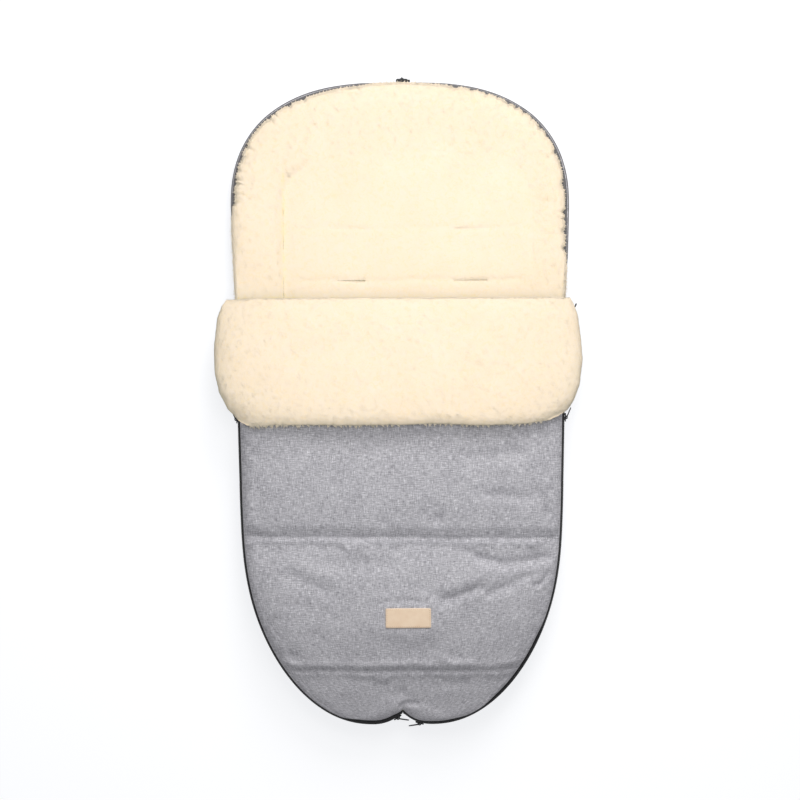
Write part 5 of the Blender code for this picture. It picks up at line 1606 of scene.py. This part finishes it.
def make_cover_lining():
    """Fleece inside the cover and the flap."""
    rows = fine_rows([
        (150 * MM, 6 * MM), (-60 * MM, 7 * MM), (-440 * MM, 5 * MM), (-476 * MM, 2 * MM),
        (FOOT_END_Y, 1 * MM),
    ])
    shares = spread_shares(90, 1.3)
    share_grid, row_grid = np.meshgrid(shares, rows)
    plan = cover_plan(rows, shares, 3.6 * MM)
    fill = crown_fill(share_grid, row_grid)
    upper = COVER_EDGE_LOW + 2 * MM + (LINING_CROWN_HIGH - COVER_EDGE_LOW - 2 * MM) * fill
    top, bottom = np.dstack([plan, upper]), np.dstack([plan, cover_under(fill)])
    piece = padded_grid("cover_lining", top, bottom, plan)
    points, normals = points_and_normals(piece)
    rise, depth = pile_height(points, 7)
    below = smooth(0.1, -0.4, normals[:, 2])
    place_points(piece, points + normals * (0.35 * rise * below)[:, None])
    # the pile attribute paints shade deep between the locks
    store(piece, "pile", 0.35 + 0.65 * depth)
    dress(piece, "fleece", None, ["cover_fleece", "flap_fleece"])
    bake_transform(piece)


# Cuff


CUFF_HEM_Y = -33.5 * MM
CUFF_LEFT = (  # share of the way from the crease to the hem, and half width in mm
    (0.0, 259), (0.05, 266), (0.144, 272), (0.357, 277), (0.583, 277), (0.735, 271),
    (0.849, 260), (0.931, 247), (0.975, 237), (1.0, 226),
)
CUFF_RIGHT = (
    (0.0, 252), (0.05, 257), (0.136, 263), (0.357, 269), (0.52, 271), (0.71, 266),
    (0.857, 256), (0.93, 247), (0.97, 235), (1.0, 220),
)


def cuff_half_width(along, side):
    """Half width of the cuff down its length; it lies a little wider on the left."""
    right = np.interp(along, *zip(*CUFF_RIGHT))
    left = np.interp(along, *zip(*CUFF_LEFT))
    return np.where(side > 0, right, left) * MM


def hem_y(x):
    """The cuff's lower edge, uneven along its length and a little higher at the right."""
    uneven = 0.6 * MM * np.sin(x / (33 * MM) + 0.4)
    deeper = 0.9 + 1.2 * smooth(-130 * MM, -180 * MM, x)
    uneven = uneven + deeper * MM * cloud_along(x, 6.5 * MM, 53)
    return CUFF_HEM_Y + uneven + 7 * MM * smooth(160 * MM, 240 * MM, x)


CUFF_THICKNESS = 26 * MM
CUFF_SIDE_THICKNESS = 18 * MM
CUFF_LOW_SHARE = 0.22
CUFF_SIDE_UNDER = 57.5 * MM
CUFF_SIDE_MIDDLE = CUFF_SIDE_UNDER + CUFF_LOW_SHARE * CUFF_SIDE_THICKNESS


def cuff_under(x):
    """Level on which the cuff rests: the flap's crown, and clear of the zip at the sides."""
    share = np.minimum(np.abs(x) / (HALF_WIDTH - 5 * MM), 1)
    return np.maximum(cover_height(fill_across(share)) + 0.8 * MM, CUFF_SIDE_UNDER)


def make_cuff():
    """The turned-down cuff: a soft, flattened roll of fleece."""
    down = (1 - np.cos(np.linspace(0, math.pi, 84))) / 2
    down = 0.55 * down + 0.45 * np.linspace(0, 1, 84)
    shares = spread_shares(236, 1.3)
    across, along = np.meshgrid(shares, down)
    x = across * cuff_half_width(along, across)
    y = CREASE_Y - 1 * MM + (hem_y(x) - CREASE_Y) * along
    ends = np.sqrt(np.maximum(1 - np.abs(2 * along - 1) ** 5, 0))
    sides = np.maximum(1 - np.abs(across) ** 9, 0) ** 0.45
    fill = ends * sides
    side = smooth(0.82, 1.0, np.abs(across))
    thick = CUFF_THICKNESS + (CUFF_SIDE_THICKNESS - CUFF_THICKNESS) * side
    under = cuff_under(x)
    middle = under + CUFF_LOW_SHARE * thick
    rounded = np.maximum(1 - np.abs(across) ** 6, 0) ** 0.5
    crown = CUFF_SIDE_MIDDLE + (CROWN_Z + CUFF_THICKNESS - CUFF_SIDE_MIDDLE) * rounded
    eased = np.array([running_mean(row, 21) for row in middle])
    eased = middle + (eased - middle) * np.minimum(3 * ends, 1)
    top = eased + np.maximum(crown - eased, 0.5 * MM) * ends
    bottom = middle - CUFF_LOW_SHARE * thick * np.minimum(fill * 1.3, 1)
    swell = cloud(np.stack([x, y * 1.4, 0 * x], -1).reshape(-1, 3), 70 * MM, 21).reshape(x.shape)
    top = top + 2.2 * MM * swell * fill
    uv = np.dstack([x, y])
    piece = padded_grid("cuff_fleece_roll", np.dstack([x, y, top]), np.dstack([x, y, bottom]), uv)
    raise_pile(piece, 31, lambda p: smooth(0, 4 * MM, p[:, 2] - cuff_under(p[:, 0])))
    dress(piece, "fleece", "cuff", ["cuff_fleece", "cuff_wadding"])
    return piece


def make_cuff_backing():
    """Outer fabric on the cuff's inner face, which shows when the cuff is unfolded."""
    rows = np.linspace(CREASE_Y - 8 * MM, CUFF_HEM_Y + 9 * MM, 46)
    shares = spread_shares(90, 1.3)
    across, y = np.meshgrid(shares, rows)
    x = across * (236 * MM - 10 * MM * np.abs((y - 60 * MM) / (90 * MM)) ** 3)
    low = cuff_under(x) - 0.35 * MM
    top, bottom = np.dstack([x, y, low + 1.2 * MM]), np.dstack([x, y, low])
    piece = padded_grid("cuff_backing", top, bottom, np.dstack([x, y]))
    dress(piece, "melange", "cuff", ["cuff_shell"])


def make_fold_band():
    """Lining that wraps the fold at the crease, from the flap's underside up to the cuff."""
    shares = spread_shares(220, 1.25)
    x_edge = np.interp(CREASE_Y, [FOOT_START_Y, HOOD_WIDEST_Y], [FOOT_HALF_WIDTH, HALF_WIDTH])
    x = shares * (x_edge - 4 * MM)
    low = cover_under(crown_fill(shares, np.full(len(shares), CREASE_Y)))
    high = cuff_under(x) + 7 * MM
    outer, inner = [], []
    for turn in np.linspace(0, 1, 26):
        z = low + (high - low) * turn
        bulge = np.sqrt(np.maximum(1 - np.abs(2 * turn - 1) ** 2.6, 0))
        outer_y = np.full(len(x), CREASE_Y - 7 * MM + 7.5 * MM * bulge)
        inner_y = np.full(len(x), CREASE_Y - 9 * MM + 5.5 * MM * bulge)
        outer.append(np.column_stack([x, outer_y, z]))
        inner.append(np.column_stack([x, inner_y, z + (0.5 - turn) * 3 * MM]))
    outer, inner = np.array(outer), np.array(inner)
    uv = np.dstack([outer[..., 0], outer[..., 2]])
    piece = padded_grid("fold_fleece", outer, inner, uv)
    raise_pile(piece, 41, lambda p: smooth(CREASE_Y - 8 * MM, CREASE_Y - 2 * MM, p[:, 1]))
    dress(piece, "fleece")
    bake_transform(piece)


# Pile and loose fibres


def make_pile(border, panel, cuff):
    """Locks of pile that stand on the fleece where it shows."""
    lock = lock_shape("lock", 5, 9 * MM, 0.5 * MM, 0.22 * MM, 5)
    fine = lock_shape("fine_lock", 4, 8 * MM, 0.4 * MM, 0.2 * MM, 6)
    for name, base, shape, spacing, seed in (
        ("hood_pile", border, lock, 5.6 * MM, 3),
        ("panel_pile", panel, fine, 6.0 * MM, 4),
        ("cuff_pile", cuff, lock, 5.6 * MM, 5),
    ):
        points, normals = points_and_normals(base)
        shown = smooth(-0.1, 0.3, normals[:, 2])
        if base is not cuff:
            shown = shown * smooth(130 * MM, 150 * MM, points[:, 1])
            shown = shown * smooth(26 * MM, 29 * MM, points[:, 2])
        else:
            shown = shown * smooth(60 * MM, 66 * MM, points[:, 2])
        store(base, "growth", shown)
        piece = grow(name, base, PILE, {
            "Spacing": spacing, "Shape": shape, "Finish": FINISH["hair"], "Sink": 0.1 * MM,
            "Least size": 0.6, "Seed": seed,
        })
        base.data.attributes.remove(base.data.attributes["growth"])
        dress(piece, "hair", "cuff" if base is cuff else "back")
    drop(lock, fine)


def make_edge_fibres():
    """Ragged points of pile that lie out over the hood's rim, and over the cuff's edges."""
    rim, fallen = rim_width(EDGE_LOOP), ragged(EDGE_LOOP)
    hood = hood_part(CREASE_Y - 4 * MM)
    tooth = wisp_shape("tooth", 12, 12 * MM, 3.4 * MM, 0.6 * MM, 0.55, 8)
    long_tooth = wisp_shape("long_tooth", 14, 17 * MM, 3.6 * MM, 0.65 * MM, 0.7, 19)
    spike = wisp_shape("spike", 9, 6.4 * MM, 2.4 * MM, 0.42 * MM, 0.8, 18)
    tuft = wisp_shape("tuft", 5, 5.2 * MM, 1.6 * MM, 0.36 * MM, 0.5, 9)
    strand = wisp_shape("strand", 3, 10 * MM, 1.0 * MM, 0.28 * MM, 0.6, 10)
    out = at_height(EDGE_LOOP - inset(EDGE_LOOP, 1.0), 0.0)[hood]

    def along_rim(rows):
        paths, leans = [], []
        for extra, z, rise in rows:
            loop = inset(EDGE_LOOP, RIM_ROUND + rim + fallen + extra * MM)[hood]
            paths.append(at_height(loop, z * MM))
            leans.append(out + (0, 0, rise))
        return paths, leans

    row("rim_teeth", spike, *along_rim([(1.2, 32.6, -0.1)]), 5.2 * MM, 0.45, 0.4, 11, "back")
    row("rim_tufts", tuft, *along_rim([(1.2, 32.8, -0.1), (2.6, 34.6, 0.1), (4.2, 36.6, 0.3)]),
        2.1 * MM, 0.6, 0.4, 12, "back")
    row("rim_strands", strand, *along_rim([(3.0, 35.0, -0.1)]), 7.0 * MM, 0.6, 0.35, 13, "back")

    def along_hem(rows, end=214 * MM):
        paths, leans = [], []
        for inward, up, drop_down in rows:
            x = np.linspace(-221 * MM, end, 260)
            y = hem_y(x) + inward * MM
            level = cuff_under(x) + up * MM
            paths.append(np.column_stack([x, y, level]))
            leans.append(np.array([0, -1, drop_down]))
        return paths, leans

    hem = along_hem([(1.0, 5.0, -0.3)])
    row("hem_teeth", tooth, *hem, 7.8 * MM, 0.5, 0.35, 14, "cuff")
    hem = along_hem([(2.0, 6.0, -0.25)], -150 * MM)
    row("hem_wisps", long_tooth, *hem, 9.5 * MM, 0.6, 0.45, 20, "cuff")
    hem = along_hem([(0.9, 4.2, -0.4), (2.2, 7.0, -0.1), (4.2, 11.0, 0.1)])
    row("hem_tufts", tuft, *hem, 1.9 * MM, 0.6, 0.4, 15, "cuff")
    hem = along_hem([(2.0, 6.0, -0.3)])
    row("hem_strands", strand, *hem, 4.6 * MM, 0.7, 0.4, 16, "cuff")
    x = np.linspace(-244 * MM, 244 * MM, 260)
    level = cuff_under(x)
    crease_y = np.full(len(x), CREASE_Y - 3 * MM)
    paths = [np.column_stack([x, crease_y, level + 11 * MM])]
    row("crease_tufts", tuft, paths, [np.array([0, 1, 0.5])], 3.1 * MM, 0.8, 0.4, 17, "cuff")
    paths = []
    for name in ("slot_lower_left", "slot_lower_right"):
        length, width, middle = slit_of(name)
        x = middle[0] + np.linspace(-0.5, 0.5, 12) * length
        paths.append(np.column_stack([x, 0 * x + middle[1] + 1.6 * MM, 0 * x + 29.6 * MM]))
    row("slit_tufts", tuft, paths, [np.array([0, -1, 0.05])] * 2, 5.6 * MM, 0.7, 0.5, 21, "back")
    drop(tooth, long_tooth, spike, tuft, strand)


# Zips


ZIP_TOP_Y = 147 * MM
SPLIT_Y = -18.0 * MM
FOOT_GAP = 5.3 * MM
ZIP_SPACING = 4 * MM  # between the points along a zip's line


def zip_path(start_y, end_y, out=0.0, gap=0.4 * MM):
    """Right zip's line from one height down to another, or round to a gap before the notch."""
    start = length_at_y(start_y)
    end = RAW_LENGTH[-1] - gap if end_y is None else length_at_y(end_y)
    lengths = np.linspace(start, end, max(int((end - start) / ZIP_SPACING), 2) + 1)
    return at_length(half_inset(-out), lengths)


def strip_piece(name, section, finish, body, stands_for, start_y, end_y, side):
    """Closed strip along a zip, its section given as (outset, height) points in mm."""
    rings = []
    for out, z in section:
        if callable(out):
            base = zip_path(start_y, end_y)
            shown = out(base * (side, 1))
            outer = zip_path(start_y, end_y, 1 * MM)
            line = base - (outer - base) / MM * shown[:, None]
        else:
            line = zip_path(start_y, end_y, out * MM)
        rings.append(at_height(line * (side, 1), z * MM))
    dress(tube(name, rings), finish, body, stands_for)


def make_zips():
    """Woven tapes on both edges and the turns of the two coils that mesh between them."""
    turn = bead_shape("coil_turn", (1.35 * MM, 2.3 * MM, 1.95 * MM))
    turn.data.transform(Matrix.Rotation(0.35, 4, "Z"))
    inner = lambda p: zip_shown(p) + 2.2 * MM
    outer = lambda p: zip_shown(p) - 0.6 * MM
    back_section = [(0.3, 20.5), (0.9, 20.6), (1.0, 27), (0.95, 33.1), (0.3, 33.1), (0.25, 27)]
    cover_section = [(0.3, 39.0), (1.0, 39.0), (0.9, 43), (0.2, 47.5), (outer, 50.3),
                     (inner, 51.2), (inner, 50.2), (outer, 49.2), (-0.6, 46.8), (0.2, 43)]
    for side, word in ((1, "right"), (-1, "left")):
        strip_piece(f"zip_tape_back_woven_{word}", back_section, "tape", "back",
                    [f"zip_tape_back_{word}"], ZIP_TOP_Y, None, side)
        strip_piece(f"zip_tape_cover_woven_{word}", cover_section, "tape", "back",
                    [f"zip_tape_cover_{word}"], SPLIT_Y - 0.3 * MM, None, side)
        strip_piece(f"zip_tape_flap_woven_{word}", cover_section, "tape", "flap",
                    [f"zip_tape_flap_{word}"], ZIP_TOP_Y, SPLIT_Y, side)
        for name, body, start_y, end_y, z in (
            ("back", "back", ZIP_TOP_Y, None, 34.3),
            ("cover", "back", SPLIT_Y - 1 * MM, None, 37.7),
            ("flap", "flap", ZIP_TOP_Y, SPLIT_Y + 1 * MM, 37.7),
        ):
            line = zip_path(start_y, end_y, 0.65 * MM, gap=FOOT_GAP)
            path = at_height(line * (side, 1), z * MM)
            row(f"zip_coil_{name}_turns_{word}", turn, [path], [UPRIGHT], 1.75 * MM, 0.0, 1.0, 1,
                body, "coil", [f"zip_coil_{name}_{word}"])
    drop(turn)


# Stitches


def make_stitches():
    """Stitches along the two quilting seams."""
    stitch = bead_shape("stitch", (3.0 * MM, 1.1 * MM, 0.9 * MM))
    x = np.linspace(-1, 1, 240)
    paths = []
    for line, y in ((seam_1, SEAM_1_Y), (seam_2, SEAM_2_Y)):
        half = edge_at_rows(np.array([y]), ZIP_SHOWS)[0][0]
        across = x * (half - 3 * MM)
        places = np.column_stack([across, line(across)])
        z = cover_top(places, across / half, places[:, 1]) + 0.35 * MM
        paths.append(np.column_stack([places, z]))
    row("quilting_stitches", stitch, paths, [UPRIGHT] * len(paths), 3.7 * MM, 0.06, 0.85, 2,
        "back", "thread")
    drop(stitch)


# Label


LABEL_SEAM = 1.9 * MM  # from the label's edge to its stitches


def height_on_cover(places):
    """Height of the cover's top at places in plan."""
    edge_x = edge_at_rows(places[:, 1], ZIP_SHOWS)[:, 0]
    return cover_top(places, places[:, 0] / edge_x, places[:, 1])


def make_label():
    """Bare leather label, stitched down along its edge."""
    half = LABEL_SIZE / 2
    columns, rows = 48, 24
    u, v = np.meshgrid(np.linspace(-1, 1, columns), np.linspace(-1, 1, rows))
    corner = 0.045 * np.maximum(np.abs(u * v) - 0.86, 0)
    x = u * half[0] * (1 - corner * 2)
    y = v * half[1] * (1 - corner * 4)
    plan = np.stack([x, y], -1) + LABEL_MIDDLE
    z = height_on_cover(plan.reshape(-1, 2)).reshape(u.shape)
    near = np.maximum(np.abs(u), np.abs(v))
    rounded = 0.35 * MM * smooth(0.93, 1.0, near)
    to_edge = np.minimum((1 - np.abs(u)) * half[0], (1 - np.abs(v)) * half[1])
    groove = 0.22 * MM * bell(to_edge - LABEL_SEAM, 0.7 * MM)
    top = np.dstack([plan, z + 1.5 * MM - rounded - groove])
    piece = padded_grid("label_leather", top, np.dstack([plan, z - 0.4 * MM]), plan)
    dress(piece, "leather", "back", ["leather_label"])
    stitch = bead_shape("label_stitch", (2.1 * MM, 0.55 * MM, 0.5 * MM))
    corners = np.array([(-1, -1), (1, -1), (1, 1), (-1, 1), (-1, -1)]) * (half - LABEL_SEAM)
    steps = np.concatenate([corners[k] + (corners[k + 1] - corners[k])
                            * np.linspace(0, 1, 24, endpoint=False)[:, None] for k in range(4)]
                           + [corners[-1:]])
    ring = steps + LABEL_MIDDLE
    path = at_height(ring, height_on_cover(ring) + 1.42 * MM)
    row("label_stitches", stitch, [path], [UPRIGHT], 2.8 * MM, 0.04, 0.9, 3, "back",
        "label_thread")
    drop(stitch)


# Carried-over solids


def dress_solids():
    """Materials of the CAD solids that stay as they are."""
    for name, node in frame["nodes"].items():
        if node.hide_render:
            continue
        if name.startswith(("slider", "pull_tab")) or "stop" in name:
            finish = "slider"
        elif name.startswith("cord_lock_spring"):
            finish = "steel"
        elif name.startswith("cord_lock"):
            finish = "plastic"
        elif name == "hood_cord":
            finish = "cord"
        elif name == "zip_tail_right":
            finish = "tape"
        else:
            continue
        node.data.materials.clear()
        node.data.materials.append(FINISH[finish])


# Floor, light and camera


def make_floor():
    """White floor that takes soft shadows and keeps the picture's ground bright."""
    data = bpy.data.meshes.new("floor")
    size = 6.0
    data.from_pydata([(-size, -size, 0), (size, -size, 0), (size, size, 0), (-size, size, 0)], [],
                     [(0, 1, 2, 3)])
    floor = linked("floor", data)
    floor.location.z = -0.4 * MM
    n = Nodes("white_floor")
    rays = n.add("ShaderNodeLightPath")
    seen = n.math("MAXIMUM", rays.outputs["Is Camera Ray"], rays.outputs["Is Glossy Ray"])
    seen = n.math("MAXIMUM", seen, rays.outputs["Is Transmission Ray"])
    tone = n.mix(seen, (0.85, 0.85, 0.855, 1), (0.35, 0.35, 0.355, 1))
    n.finish(tone, 1.0, None, Specular_IOR_Level=0.0)
    glow = n.add("ShaderNodeEmission", Color=(0.97, 0.98, 1.0, 1))
    n.put(glow.inputs["Strength"], n.math("MULTIPLY", seen, 0.79))
    both = n.add("ShaderNodeAddShader")
    n.put(both.inputs[0], n.shader.outputs[0])
    n.put(both.inputs[1], glow.outputs[0])
    n.put(n.tree.nodes["Material Output"].inputs["Surface"], both.outputs[0])
    data.materials.append(n.material)


def add_lamp(name, place, target, size, power, colour):
    lamp = bpy.data.lights.new(name, "AREA")
    lamp.size = size
    lamp.energy = power
    lamp.color = colour
    holder = linked(name, lamp)
    holder.location = place
    holder.rotation_euler = (Vector(target) - Vector(place)).to_track_quat("-Z", "Y").to_euler()


def make_studio():
    scene = bpy.context.scene
    scene.view_settings.view_transform = "Standard"
    world = bpy.data.worlds.new("soft_white")
    scene.world = world
    world.use_nodes = True
    sky = world.node_tree.nodes["Background"]
    sky.inputs["Color"].default_value = (0.985, 0.99, 1.0, 1)
    sky.inputs["Strength"].default_value = 0.345
    add_lamp("key_lamp", (0.5, 1.9, 1.4), (0, 0.1, 0), 1.2, 36.5, (1.0, 0.985, 0.965))
    add_lamp("top_lamp", (0.0, 0.16, 0.95), (0, 0.16, 0), 0.5, 3.0, (1.0, 0.99, 0.975))
    camera = bpy.data.cameras.new("camera")
    camera.sensor_width = 36.0
    camera.lens = camera.sensor_width * CAMERA_HEIGHT / VIEW_WIDTH
    holder = linked("camera", camera)
    middle = -photo_place(400, 400)
    holder.location = (-middle[0], -middle[1], CHAIN_Z + CAMERA_HEIGHT)
    holder.rotation_euler.z = CAMERA_TURN
    scene.camera = holder


make_studio()
make_floor()
SETTLED.append(settle_cover())
make_back_fabric()
make_rim_binding_and_painted_shade()
border_piece = make_lining_border()
panel_piece = make_lining_panel()
make_slot_lips()
make_cover_fabric()
make_cover_lining()
cuff_piece = make_cuff()
make_cuff_backing()
make_fold_band()
make_pile(border_piece, panel_piece, cuff_piece)
make_edge_fibres()
make_zips()
make_stitches()
make_label()
dress_solids()
